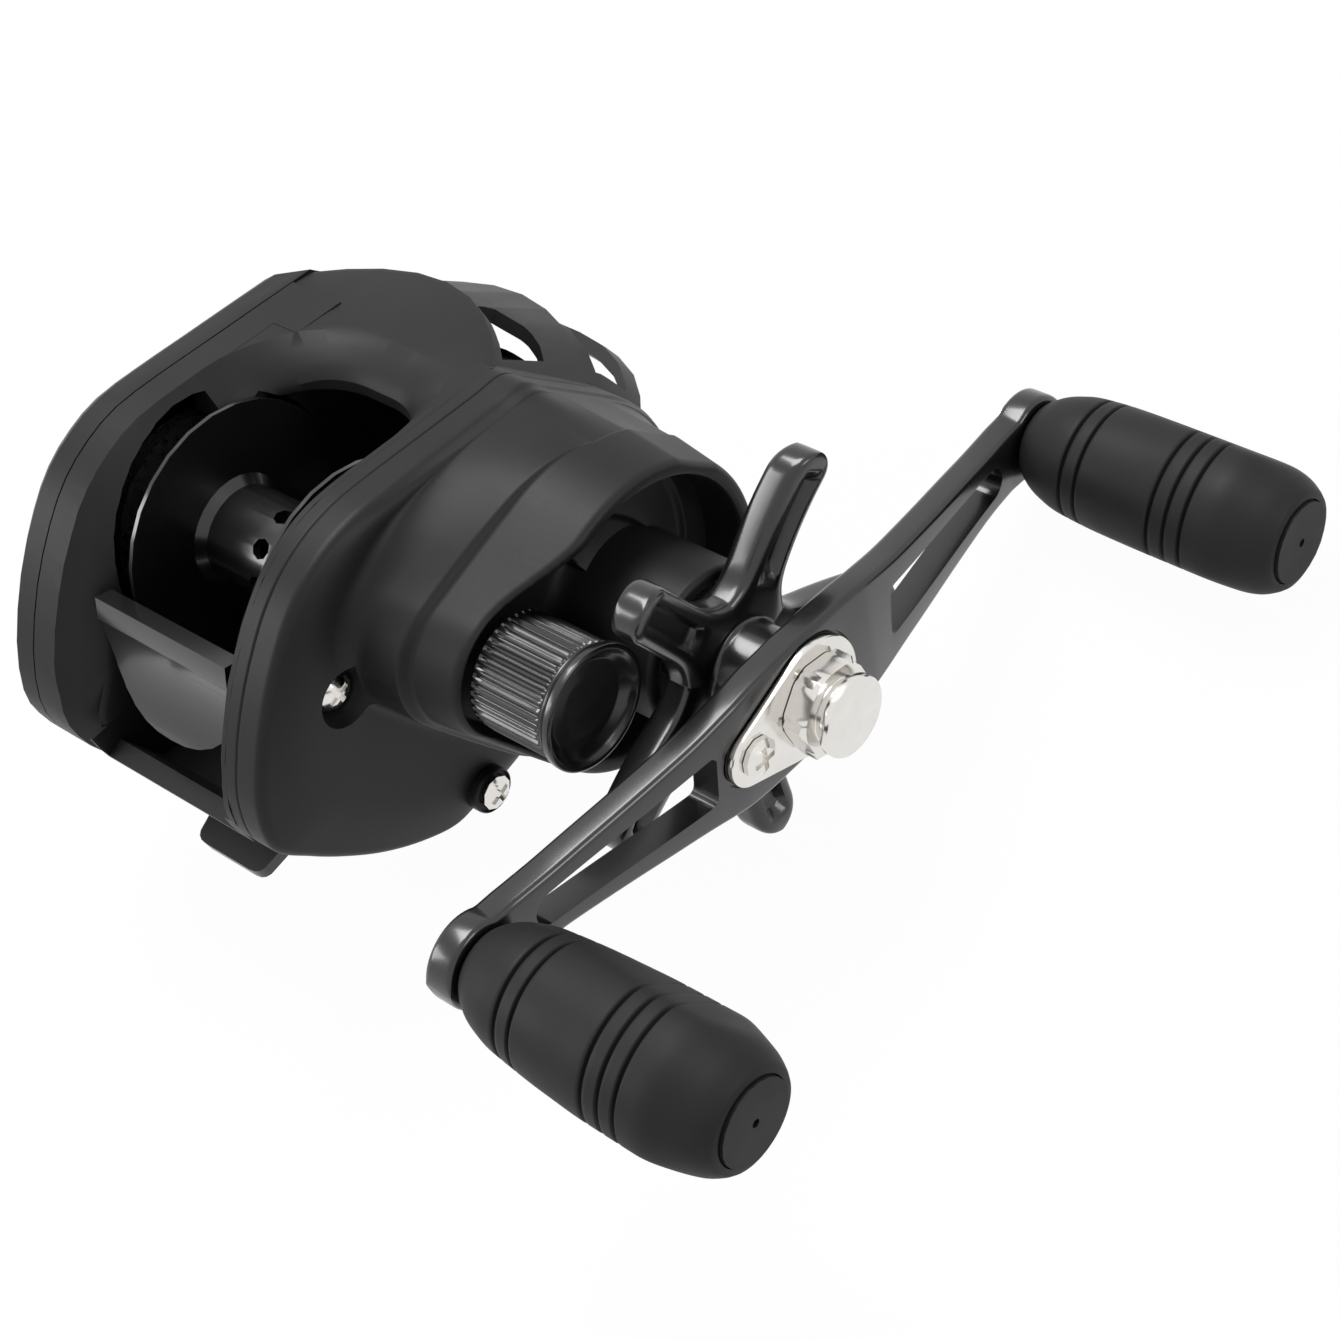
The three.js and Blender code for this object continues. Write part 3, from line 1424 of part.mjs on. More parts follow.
// Level wind: worm, carriage with its eye, pawl and guide rail

const wormLeft = frameLeft + leftRim + seatGap;
const wormRight = windGearAcross + windGearWidth;

function makeWorm() {
  const journalLeft = wormLeft + bushLength;
  const shoulderLeft = -openingHalf + seatGap * 2;
  return turned([
    [0, wormLeft + seatGap], [wormJournalRadius, wormLeft + seatGap], [wormJournalRadius, journalLeft],
    [wormPinchRadius, shoulderLeft], [wormRadius, shoulderLeft + seam], [wormRadius, openingHalf - seam * 2],
    [wormJournalRadius, openingHalf - seam], [wormJournalRadius, wormRight], [0, wormRight],
  ], hiddenSides);
}

function makeBush(from) {
  return ring(bushRadius, wormJournalRadius + runningGap, from, from + bushLength, hiddenSides);
}

function makeGuide() {
  const half = guideWidth / 2;
  const tubeRadius = wormRadius + guideWall;
  const tube = rod(tubeRadius, -half, half);
  const railTube = rod(railRadius + guideWall, -half, half, hiddenSides, railForward, railRise);
  const web = prism(capsule(guideWall, [0, 0], [railForward, railRise]), -half, half);
  const stalk = block(guideWidth, eyeForward, guideWall * 2, 0, eyeForward / 2, guideWall / 2);
  const ringOuter = eyeRadius + insertWall + eyeWall;
  const eye = lengthwise(ringOuter, eyeForward - guideWall, eyeForward + guideWall, 0, -eyeDrop, roundSides);
  const eyeBore = lengthwise(eyeRadius + insertWall + seatGap, tubeRadius,
    eyeForward + guideWall + overrun, 0,
    -eyeDrop, roundSides);
  return cutBy(joined([tube, railTube, web, stalk, eye]), [
    rod(wormRadius + runningGap, -half - overrun, half + overrun),
    rod(railRadius + runningGap, -half - overrun, half + overrun, hiddenSides, railForward, railRise),
    eyeBore,
    standing(pawlRadius + seatGap, -wormRadius - guideWall - overrun, 0, 0, 0),
  ]);
}

function makeEyeInsert() {
  const outer = lengthwise(eyeRadius + insertWall, -insertLength / 2, insertLength / 2, 0, 0, roundSides);
  return outer.subtract(lengthwise(eyeRadius, -insertLength, insertLength, 0, 0, roundSides));
}

function makePawl() {
  return standing(pawlRadius, -wormRadius - guideWall, -wormRadius - seatGap, 0, 0);
}

function makePawlCap() {
  const top = -wormRadius - guideWall - seatGap;
  return standing(pawlCapRadius, top - pawlCapHeight, top, 0, 0);
}

// Assembly

add(reel, 'frame', makeFrame(), matteBlack());
add(reel, 'level_wind_hood', makeHood(), matteBlack());
add(reel, 'palm_side_plate', makePalmPlate(), matteBlack());
add(reel, 'gear_side_cover', makeCover(), matteBlack());
add(reel, 'reel_foot', makeFoot(), satinBlack());
rivetPlaces().forEach((y, k) => (
  add(reel, `foot_rivet_${['rear', 'front'][k]}`, makeRivet(), steel(), 0, y, 0)));
coverScrewPlaces().forEach(([y, z], k) => (
  add(reel, `cover_screw_${['rear', 'lower', 'front'][k]}`, makeCoverScrew(coverScrewSeats()[k]),
    nickel(), 0, y, z)));

add(onSpoolAxis, 'brake_dial', makeBrakeDial(), satinBlack());
add(onSpoolAxis, 'magnet_ring', ring(magnetOuter, palmHubRadius + runningGap, frameLeft + leftRim * 0.4,
  frameLeft + leftRim * 0.4 + magnetThickness), steel());
add(onSpoolAxis, 'spool', makeSpool(), glossBlack());
add(onSpoolAxis, 'spool_shaft', makeSpoolShaft(), steel());
add(onSpoolAxis, 'spool_pin', standing(pinRadius, -pinLength / 2, pinLength / 2, 0, 0), steel(), pinAcross);
add(onSpoolAxis, 'spool_bearing_palm', makeBearing(palmBearingRadius, spoolJournalRadius + runningGap,
  frameLeft - seam + palmHubLength - bearingWidth - seatGap, bearingWidth), steel());
add(onSpoolAxis, 'spool_bearing_cast', makeBearing(castBearingRadius, spoolJournalRadius + runningGap,
  coverOuter + castBossLength - bearingWidth - seatGap, bearingWidth), steel());
add(onSpoolAxis, 'cast_control_cap', makeCastCap(), satinBlack());

add(onSpoolAxis, 'pinion_gear', makePinion(), brass());
add(onSpoolAxis, 'clutch_yoke', makeYoke(), whitePlastic());
yokePlaces().forEach(([y, z], k) => {
  const side = ['lower', 'upper'][k];
  add(onSpoolAxis, `yoke_post_${side}`, makePost(), steel(), 0, y, z);
  add(onSpoolAxis, `yoke_spring_${side}`, makeYokeSpring(), steel(), 0, y, z);
});
add(reel, 'thumb_bar', makeThumbBar(), satinBlack());
add(reel, 'clutch_cam', makeClutchCam(), whitePlastic());

add(onShaftAxis, 'drive_shaft', makeDriveShaft(), steel());
add(onShaftAxis, 'wind_drive_gear', makeWindGear(windDriveTeeth, windDrivePitch, wormAngle, shaftRadius,
  windGearAcross), whitePlastic());
add(onShaftAxis, 'ratchet_wheel', makeRatchet(), steel());
add(onShaftAxis, 'drive_gear', makeDriveGear(), brass());
add(onShaftAxis, 'drag_washer_inner', makeWasher(dragRadius, dragFloor + seatGap, dragWasher), carbon());
add(onShaftAxis, 'drag_washer_keyed', makeEaredWasher(dragFloor + dragWasher + seatGap * 2), steel());
add(onShaftAxis, 'drag_washer_outer', makeWasher(dragRadius, dragFloor + dragWasher * 2 + seatGap * 3,
  dragWasher), carbon());
add(onShaftAxis, 'drag_pressure_washer', makeWasher(dragRadius - dragWasher,
  dragFloor + dragWasher * 3 + seatGap * 4, pressureWasher), steel());
add(onShaftAxis, 'one_way_clutch', ring(clutchOuter, clutchInner, coverOuter - coverWall,
  coverOuter - coverWall + clutchLength, hiddenSides), steel());
add(onShaftAxis, 'clutch_sleeve', ring(sleeveOuter, shaftRadius + seatGap,
  dragFloor + dragWasher * 3 + pressureWasher + seatGap * 5, neckFace - springWasherRise - seatGap,
  hiddenSides), steel());
add(onShaftAxis, 'shaft_bearing', makeBearing(clutchOuter, sleeveOuter + runningGap,
  neckFace - springWasherRise - shaftBearingWidth - seam, shaftBearingWidth), steel());
add(onShaftAxis, 'drag_spring_washer', makeSpringWasher(neckFace - springWasherRise), steel());

const star = axisGroup(shaftForward, shaftHeight);
star.rotation.x = degrees(starFirstArm);
add(star, 'star_drag', makeStar(), glossBlack());

const handle = axisGroup(shaftForward, shaftHeight);
handle.rotation.x = degrees(handleTurn);
add(handle, 'handle_arm', makeArm(), glossBlack());
add(handle, 'retainer_plate', makeRetainerPlate(), nickel());
add(handle, 'retainer_screw', makeRetainerScrew(), nickel(), 0, -plateTipOffset, 0);
add(handle, 'handle_nut', makeNut(), nickel());
[['front', handleHalf], ['rear', -handleHalf]].forEach(([side, reach]) => {
  add(handle, `knob_spindle_${side}`, makeSpindle(), steel(), 0, reach, 0);
  add(handle, `knob_${side}`, makeKnob(), rubberBlack(), 0, reach, 0);
  add(handle, `knob_screw_${side}`, makeKnobScrew(), steel(), 0, reach, 0);
  add(handle, `knob_cap_${side}`, makeKnobCap(), satinBlack(), 0, reach, 0);
});

add(onWormAxis, 'worm_shaft', makeWorm(), steel());
add(onWormAxis, 'worm_bush_palm', makeBush(wormLeft + seatGap), whitePlastic());
add(onWormAxis, 'worm_bush_gear', makeBush(openingHalf + seatGap), whitePlastic());
add(onWormAxis, 'worm_gear', makeWindGear(wormTeeth, wormPitch, wormAngle + Math.PI + Math.PI / wormTeeth,
  wormJournalRadius, windGearAcross), whitePlastic());
add(onWormAxis, 'line_guide', makeGuide(), satinBlack());
add(onWormAxis, 'line_guide_insert', makeEyeInsert(), whitePlastic(), 0, eyeForward, -eyeDrop);
add(onWormAxis, 'guide_pawl', makePawl(), brass());
add(onWormAxis, 'guide_pawl_cap', makePawlCap(), brass());
add(onWormAxis, 'guide_rail', rod(railRadius, wormLeft + seatGap, wallOuter - seatGap, smallSides), steel(),
  0, railForward, railRise);

export default reel;
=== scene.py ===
"""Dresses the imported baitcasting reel: finer skins for its visible pieces, their finishes, light and camera.

Shapes are worked out in millimetres and stored in metres. X runs across the reel towards its handle, Y
forward along the rod and Z up. A profile turned about an axis is a list of (x, radius).
"""
import json
import math

import bpy
import numpy as np
from bpy.props import FloatProperty, FloatVectorProperty, IntProperty, PointerProperty
from mathutils import Matrix, Vector

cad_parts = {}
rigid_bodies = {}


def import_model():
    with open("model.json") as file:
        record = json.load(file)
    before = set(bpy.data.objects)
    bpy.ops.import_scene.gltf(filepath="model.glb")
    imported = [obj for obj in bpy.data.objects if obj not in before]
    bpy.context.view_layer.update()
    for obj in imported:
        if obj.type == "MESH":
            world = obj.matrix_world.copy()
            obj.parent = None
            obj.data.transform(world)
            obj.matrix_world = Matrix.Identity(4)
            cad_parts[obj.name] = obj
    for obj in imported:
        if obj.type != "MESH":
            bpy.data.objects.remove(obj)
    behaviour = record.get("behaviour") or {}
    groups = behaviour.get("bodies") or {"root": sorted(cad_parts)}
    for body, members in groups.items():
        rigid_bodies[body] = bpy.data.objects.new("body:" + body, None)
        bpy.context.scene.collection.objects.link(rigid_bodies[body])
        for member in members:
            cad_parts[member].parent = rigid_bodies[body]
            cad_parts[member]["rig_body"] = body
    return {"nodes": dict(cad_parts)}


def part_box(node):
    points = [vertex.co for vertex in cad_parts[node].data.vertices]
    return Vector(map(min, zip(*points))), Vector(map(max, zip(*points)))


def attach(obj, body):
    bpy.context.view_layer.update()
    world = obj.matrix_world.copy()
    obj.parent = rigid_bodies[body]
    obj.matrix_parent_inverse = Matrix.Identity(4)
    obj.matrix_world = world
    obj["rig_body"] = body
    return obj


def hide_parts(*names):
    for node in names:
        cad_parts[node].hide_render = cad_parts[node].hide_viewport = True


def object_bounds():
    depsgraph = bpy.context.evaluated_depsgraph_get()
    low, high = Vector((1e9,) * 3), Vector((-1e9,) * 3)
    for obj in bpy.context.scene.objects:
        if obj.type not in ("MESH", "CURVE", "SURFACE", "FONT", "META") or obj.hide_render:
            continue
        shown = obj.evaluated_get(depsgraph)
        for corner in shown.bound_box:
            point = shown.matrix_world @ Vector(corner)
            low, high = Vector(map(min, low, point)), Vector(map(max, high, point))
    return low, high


bl_info = {
    "name": "Baitcasting reel dressing",
    "version": (1, 0, 0),
    "blender": (4, 5, 0),
    "location": "3D View > Sidebar > Reel",
    "description": "Makes the visible skins, finishes, light and camera of a baitcasting reel",
    "category": "Object",
}

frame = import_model()
CAD_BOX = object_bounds()

MM = 0.001
TAU = 2 * math.pi

# Axes of the turning parts, as Y and Z, in millimetres
SPOOL_AXIS = (0.0, 24.0)
SHAFT_AXIS = (14.4, 13.5)

# X of the gear side cover's base, and of the seam where its skin starts
COVER_BASE = 13.5
SEAM_X = 13.33

# The cover's screws: node, seat and top of the post round it as X, and the post's radius
COVER_DISHES = (("cover_screw_rear", 17.7, 19.7, 4.4), ("cover_screw_lower", 21.1, 21.6, 2.95))

# The crown's line from the hood over the arch to the rear bar, as Y and Z, and the number of the point of it
# where the bay's mouth starts
CROWN_LINE = [(30.5, 29.4), (26.0, 31.75), (21.5, 33.7), (15.17, 36.38), (11.56, 37.94), (8.08, 39.41),
              (4.91, 40.67), (2.01, 41.61), (-0.56, 41.99), (-2.99, 42.0), (-5.49, 41.78), (-7.99, 41.21),
              (-12.99, 38.9), (-19.0, 34.81), (-25.01, 28.99), (-28.2, 23.6), (-29.6, 19.01)]
MOUTH_START = 2

# Half the width of the spool's bay, and how far a cutter stays off the bay's own planes
BAY_HALF = 11.3
CUT_GAP = 0.04


def box_mm(node):
    """The lowest and highest corners of a CAD node, in millimetres."""
    low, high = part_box(node)
    return np.array(low) / MM, np.array(high) / MM


def centre_mm(node):
    """The Y and Z of the middle of a CAD node, in millimetres."""
    low, high = box_mm(node)
    return (low[1:] + high[1:]) / 2


def smooth_step(t):
    """0 below 0, 1 above 1, and an even ease between."""
    t = np.clip(t, 0, 1)
    return t * t * (3 - 2 * t)


# ---------------------------------------------------------------- shader maths

class Wire:
    """A socket that takes part in plain Python sums, each of which adds a Math node."""

    def __init__(self, board, socket):
        self.board = board
        self.socket = socket

    def __add__(self, other):
        return self.board.maths("ADD", self, other)

    def __mul__(self, other):
        return self.board.maths("MULTIPLY", self, other)

    __radd__ = __add__
    __rmul__ = __mul__


class Board:
    """The node tree of one material or world, emptied. Every node comes from the node method."""

    def __init__(self, owner):
        owner.use_nodes = True
        self.tree = owner.node_tree
        self.tree.nodes.clear()

    def node(self, kind, values=None, stops=None, **settings):
        """Adds a node with its settings, a ramp's stops, and the values or links of its sockets."""
        made = self.tree.nodes.new(kind)
        for name, setting in settings.items():
            setattr(made, name, setting)
        if stops:
            ramp = made.color_ramp
            while len(ramp.elements) < len(stops):
                ramp.elements.new(1.0)
            for element, (place, grey) in zip(ramp.elements, stops):
                element.position = place
                element.color = (grey, grey, grey, 1.0)
        for name, value in (values or {}).items():
            socket = made.inputs[name]
            if isinstance(value, Wire):
                self.tree.links.new(value.socket, socket)
            else:
                socket.default_value = value
        return made

    def wire(self, made, output=0):
        """An output of a node, to be linked or reckoned with."""
        return Wire(self, made.outputs[output])

    def maths(self, operation, first, second):
        return self.wire(self.node("ShaderNodeMath", {0: first, 1: second}, operation=operation))

    def place(self):
        """Object coordinates in millimetres."""
        coordinates = self.node("ShaderNodeTexCoord")
        scaled = self.node("ShaderNodeVectorMath", {0: self.wire(coordinates, "Object"), "Scale": 1 / MM},
                           operation="SCALE")
        return self.wire(scaled)

    def noise(self, place, scale, detail, rough=0.5):
        return self.wire(self.node("ShaderNodeTexNoise", {"Vector": place, "Scale": scale, "Detail": detail,
                                                          "Roughness": rough}))

    def ramp(self, value, stops):
        return self.wire(self.node("ShaderNodeValToRGB", {"Fac": value}, stops=stops))

    def mix(self, factor, first, second):
        """A colour between two. A Mix node's colours are its sockets 6 and 7, and its output 2."""
        return self.wire(self.node("ShaderNodeMix", {0: factor, 6: first, 7: second}, data_type="RGBA"), 2)

    def bump(self, height, strength, distance):
        return self.wire(self.node("ShaderNodeBump", {"Height": height, "Strength": strength,
                                                      "Distance": distance}))

    def finish(self, **sockets):
        """Ends a material in one Principled shader with these sockets, underscores standing for spaces."""
        values = {name.replace("_", " "): value for name, value in sockets.items()}
        shader = self.node("ShaderNodeBsdfPrincipled", values)
        self.node("ShaderNodeOutputMaterial", {"Surface": self.wire(shader)})


def shade(colour, times):
    """A colour made lighter or darker, by that many times."""
    return (*(min(1.0, part * times) for part in colour[:3]), 1.0)


# ------------------------------------------------------------------- finishes

def blank(name):
    """A new material, its board, and the place on the object that its patterns follow."""
    material = bpy.data.materials.new(name)
    board = Board(material)
    return material, board, board.place()


def moulded(name, colour, roughness, grain=0.012, level=0.2):
    """Matte moulded resin: a fine grain of that many millimetres, a faint cloudiness and an uneven sheen."""
    material, board, place = blank(name)
    cloud = board.noise(place, 0.09, 3.0)
    fine = board.noise(place, 5.5, 2.0, 0.6)
    tone = board.ramp(cloud, [(0.35, 0.0), (0.68, 1.0)])
    board.finish(
        Base_Color=board.mix(tone, shade(colour, 0.86), shade(colour, 1.14)),
        Roughness=board.ramp(cloud * 0.5 + fine * 0.5, [(0.3, roughness - 0.05), (0.7, roughness + 0.06)]),
        Specular_IOR_Level=level,
        Normal=board.bump(fine, 0.35, grain * MM),
    )
    return material


def lacquer(name, colour, roughness, coat=0.3):
    """Smooth black finish with a thin clear coat, uneven by a hair."""
    material, board, place = blank(name)
    cloud = board.noise(place, 0.16, 3.0)
    fine = board.noise(place, 1.1, 2.0, 0.5)
    board.finish(
        Base_Color=board.mix(cloud, shade(colour, 0.8), shade(colour, 1.2)),
        Roughness=board.ramp(fine, [(0.3, roughness * 0.97), (0.72, roughness * 1.04)]),
        Coat_Weight=coat,
        Coat_Roughness=roughness * 0.5,
        Normal=board.bump(cloud, 0.1, 0.02 * MM),
    )
    return material


def rubbery(name, colour, roughness):
    """Soft-touch knob rubber: a dense fine grain over slow patches of handling wear."""
    material, board, place = blank(name)
    patch = board.noise(place, 0.12, 2.0)
    grain = board.noise(place, 9.0, 2.0, 0.7)
    board.finish(
        Base_Color=board.mix(patch, shade(colour, 0.85), shade(colour, 1.15)),
        Roughness=board.ramp(patch, [(0.32, roughness - 0.06), (0.7, roughness + 0.06)]),
        Specular_IOR_Level=0.2,
        Normal=board.bump(grain, 0.4, 0.02 * MM),
    )
    return material


def plated(name, colour, roughness, grain=0.1):
    """Plated metal with a faint drawn grain round the X axis, of that strength."""
    material, board, place = blank(name)
    drawn = board.node("ShaderNodeMapping", {"Vector": place, "Scale": (6.0, 0.6, 0.6)})
    lines = board.noise(board.wire(drawn), 1.6, 4.0, 0.6)
    cloud = board.noise(place, 0.4, 2.0)
    board.finish(
        Base_Color=board.mix(cloud, shade(colour, 0.93), shade(colour, 1.05)),
        Metallic=1.0,
        Roughness=board.ramp(lines, [(0.3, roughness * 0.75), (0.7, roughness * 1.3)]),
        Normal=board.bump(lines, grain, 0.01 * MM),
    )
    return material


def make_finishes(look):
    """Every finish by the key that NODE_FINISHES and the pieces name it by."""
    return {
        "body": moulded("finish_body", look.body_colour, look.body_roughness),
        "gloss": lacquer("finish_gloss", look.gloss_colour, look.gloss_roughness),
        "satin": lacquer("finish_satin", look.satin_colour, look.satin_roughness, 0.15),
        "rubber": rubbery("finish_rubber", look.rubber_colour, look.rubber_roughness),
        "nickel": plated("finish_nickel", look.nickel_colour, look.nickel_roughness),
        "steel": plated("finish_steel", (0.45, 0.45, 0.46), 0.3, 0.2),
        "brass": plated("finish_brass", (0.62, 0.44, 0.18), 0.32, 0.2),
        "ceramic": moulded("finish_ceramic", (0.55, 0.54, 0.5), 0.35, 0.005, 0.5),
    }


# Which finish each CAD node wears, by the start of its name
NODE_FINISHES = {
    "gloss": ["spool", "handle_arm", "star_drag", "cast_control_cap", "thumb_bar"],
    "rubber": ["knob_front", "knob_rear", "knob_cap"],
    "nickel": ["retainer_plate", "retainer_screw", "handle_nut", "cover_screw"],
    "steel": ["spool_shaft", "spool_pin", "spool_bearing", "worm_bush", "drive_shaft", "ratchet",
              "shaft_bearing", "knob_spindle", "knob_screw", "yoke", "foot_rivet", "drag_", "one_way",
              "clutch_sleeve", "guide_pawl", "line_guide_insert", "worm_shaft", "line_rail", "thumb_",
              "magnet"],
    "brass": ["drive_gear", "pinion", "wind_drive_gear"],
    "ceramic": ["worm_gear", "clutch_yoke", "clutch_cam"],
    "satin": ["reel_foot", "brake_dial", "line_guide"],
    "body": ["frame", "level_wind_hood", "palm_side_plate", "gear_side_cover"],
}


def finish_key(node):
    """The finish whose listed start of a name is the longest that fits the node."""
    fits = [(len(start), key) for key, starts in NODE_FINISHES.items() for start in starts
            if node.startswith(start)]
    return max(fits)[1] if fits else "steel"


def wear(piece, material):
    """Gives a piece one material in every slot."""
    if not piece.material_slots:
        piece.data.materials.append(material)
    for slot in piece.material_slots:
        slot.link = "OBJECT"
        slot.material = material


# -------------------------------------------------------------------- surfaces

def closed_skin(name, rings, rungs=False):
    """A closed surface through rings of equal point counts, each joined to the next by quads.

    Point (i, j) is rings[i, j]. Its quad runs to i + 1 and to j + 1, with j wrapping round. An end ring is
    filled by one face, or by rungs across it, where a long ring isn't flat. The faces are turned over if
    the sum of their signed volumes is negative.
    """
    rings = np.asarray(rings, float)
    count, around = rings.shape[:2]
    points = rings.reshape(-1, 3)
    quads = grid_quads(count - 1, count, around)
    faces = quads.tolist()
    last = (count - 1) * around
    if rungs:
        cross = [[k, k + 1, around - 2 - k, around - 1 - k] for k in range(around // 2)]
        cross = [face if face[1] != face[2] else face[:2] + face[3:] for face in cross]
        faces += [face[::-1] for face in cross] + [[last + k for k in face] for face in cross]
    else:
        faces += [list(range(around))[::-1], list(range(last, count * around))]
    volume = quads_volume(points, quads) + cap_volume(points[last:]) - cap_volume(points[:around])
    if volume < 0:
        faces = [face[::-1] for face in faces]
    return piece_of(name, points, faces)


def closed_ring_skin(name, rings):
    """A surface closed both ways: ring i joins ring i + 1, and the last ring the first."""
    count, around = rings.shape[:2]
    points = rings.reshape(-1, 3)
    quads = grid_quads(count, count, around)
    if quads_volume(points, quads) < 0:
        quads = quads[:, ::-1]
    return piece_of(name, points, quads.tolist())


def grid_quads(strips, count, around):
    """The quads of the first strips between count rings of around points each, as four point numbers."""
    i, j = np.meshgrid(np.arange(strips), np.arange(around), indexing="ij")
    up, side = (i + 1) % count, (j + 1) % around
    quads = np.stack([i * around + j, i * around + side, up * around + side, up * around + j], -1)
    return quads.reshape(-1, 4)


def quads_volume(points, quads):
    """Six times the signed volume between the origin and quads, each taken as two triangles."""
    a, b, c, d = (points[quads[:, k]] for k in range(4))
    return (np.einsum("ij,ij->i", a, np.cross(b, c)) + np.einsum("ij,ij->i", a, np.cross(c, d))).sum()


def cap_volume(ring):
    """Six times the signed volume between the origin and a fan over the ring."""
    hub = ring.mean(0)
    return np.einsum("ij,ij->i", np.broadcast_to(hub, ring.shape), np.cross(ring, np.roll(ring, -1, 0))).sum()


def piece_of(name, points, faces):
    """A mesh object from points in millimetres and faces by point number."""
    mesh = bpy.data.meshes.new(name)
    mesh.from_pydata((np.asarray(points) * MM).tolist(), [], faces, False)
    mesh.validate()
    mesh.update()
    piece = bpy.data.objects.new(name, mesh)
    bpy.context.scene.collection.objects.link(piece)
    return piece


def mesh_points(mesh):
    """The points of a mesh, in millimetres."""
    points = np.empty(len(mesh.vertices) * 3)
    mesh.vertices.foreach_get("co", points)
    return points.reshape(-1, 3) / MM


def turned_rings(profile, sides, centre, radius_at=None):
    """Rings about an X axis. Point (i, j) is (x_i, cy + r cos a_j, cz + r sin a_j) with r = r_i, or
    radius_at(r_i, a_j) where a cross section is not round."""
    profile = np.asarray(profile, float)
    angles = np.arange(sides) * TAU / sides
    x = np.repeat(profile[:, :1], sides, 1)
    r = np.repeat(profile[:, 1:2], sides, 1)
    a = np.repeat(angles[None, :], len(profile), 0)
    if radius_at:
        r = radius_at(r, a)
    return np.stack([x, centre[0] + r * np.cos(a), centre[1] + r * np.sin(a)], -1)


def rounded(points, size, steps=3):
    """A run of points with each inner corner replaced by a short quadratic curve: each corner point P
    becomes points of the curve from P - size to P + size along its two edges."""
    points = np.asarray(points, float)
    run = [points[0]]
    for before, corner, after in zip(points[:-2], points[1:-1], points[2:]):
        back, ahead = before - corner, after - corner
        lengths = np.linalg.norm(back), np.linalg.norm(ahead)
        cut = min(size, lengths[0] * 0.45, lengths[1] * 0.45)
        start, end = corner + back / lengths[0] * cut, corner + ahead / lengths[1] * cut
        for t in np.linspace(0, 1, steps + 1):
            run.append((1 - t) ** 2 * start + 2 * t * (1 - t) * corner + t ** 2 * end)
    run.append(points[-1])
    return np.array(run)


def soften(piece, angle):
    """Adds a modifier that shades a piece smoothly, with its edges past an angle in degrees kept sharp."""
    modifier = piece.modifiers.new("soft_shading", "NODES")
    modifier.node_group = shading_group(angle)


def shading_group(angle):
    """The node group behind soften: merged points, no kept normals, smooth faces, and sharp edges."""
    name = f"soft_shading_{angle:.0f}"
    group = bpy.data.node_groups.get(name)
    if group:
        return group
    group = bpy.data.node_groups.new(name, "GeometryNodeTree")
    group.interface.new_socket("Geometry", in_out="INPUT", socket_type="NodeSocketGeometry")
    group.interface.new_socket("Geometry", in_out="OUTPUT", socket_type="NodeSocketGeometry")
    nodes, links = group.nodes, group.links
    start = nodes.new("NodeGroupInput")
    merge = nodes.new("GeometryNodeMergeByDistance")
    merge.inputs["Distance"].default_value = 1e-6
    forget = nodes.new("GeometryNodeRemoveAttribute")
    forget.inputs["Name"].default_value = "custom_normal"
    faces = nodes.new("GeometryNodeSetShadeSmooth")
    faces.domain = "FACE"
    edges = nodes.new("GeometryNodeSetShadeSmooth")
    edges.domain = "EDGE"
    edges.inputs["Shade Smooth"].default_value = False
    between = nodes.new("GeometryNodeInputMeshEdgeAngle")
    compare = nodes.new("FunctionNodeCompare")
    compare.data_type = "FLOAT"
    compare.operation = "GREATER_THAN"
    compare.inputs[1].default_value = math.radians(angle)
    end = nodes.new("NodeGroupOutput")
    links.new(start.outputs[0], merge.inputs["Geometry"])
    links.new(merge.outputs["Geometry"], forget.inputs["Geometry"])
    links.new(forget.outputs["Geometry"], faces.inputs["Geometry"])
    links.new(faces.outputs["Geometry"], edges.inputs["Geometry"])
    links.new(between.outputs["Unsigned Angle"], compare.inputs[0])
    links.new(compare.outputs["Result"], edges.inputs["Selection"])
    links.new(edges.outputs["Geometry"], end.inputs[0])
    return group


# ------------------------------------------------------------ sizes and colours

def millimetres(name, text, value):
    """A length in millimetres."""
    return FloatProperty(name=name, description=f"{text}, in mm", default=value)


def share(name, text, value):
    """A number from 0 to 1."""
    return FloatProperty(name=name, description=text, subtype="FACTOR", default=value, min=0.0, max=1.0)


def turned_by(name, text, degrees):
    """A turn, given in degrees and kept in radians."""
    return FloatProperty(name=name, description=text, subtype="ANGLE", default=math.radians(degrees))


def tint(name, text, red, green, blue):
    """A colour."""
    return FloatVectorProperty(name=name, description=text, subtype="COLOR", size=4,
                               default=(red, green, blue, 1.0))


class ReelLook(bpy.types.PropertyGroup):
    """Colours and finishes of the reel."""

    body_colour: tint("Body colour", "Colour of the moulded body", 0.0118, 0.012, 0.0131)
    gloss_colour: tint("Gloss colour", "Colour of the glossy black pieces", 0.008, 0.008, 0.0088)
    satin_colour: tint("Satin colour", "Colour of the satin black pieces", 0.013, 0.013, 0.0142)
    rubber_colour: tint("Rubber colour", "Colour of the knob grips", 0.0115, 0.0117, 0.0126)
    nickel_colour: tint("Nickel colour", "Colour of the plated nut, plate and screws", 0.76, 0.74, 0.71)
    body_roughness: share("Body roughness", "Roughness of the moulded body", 0.46)
    gloss_roughness: share("Gloss roughness", "Roughness of the glossy black pieces", 0.24)
    satin_roughness: share("Satin roughness", "Roughness of the satin black pieces", 0.36)
    rubber_roughness: share("Rubber roughness", "Roughness of the knob grips", 0.56)
    nickel_roughness: share("Nickel roughness", "Roughness of the plated pieces", 0.17)


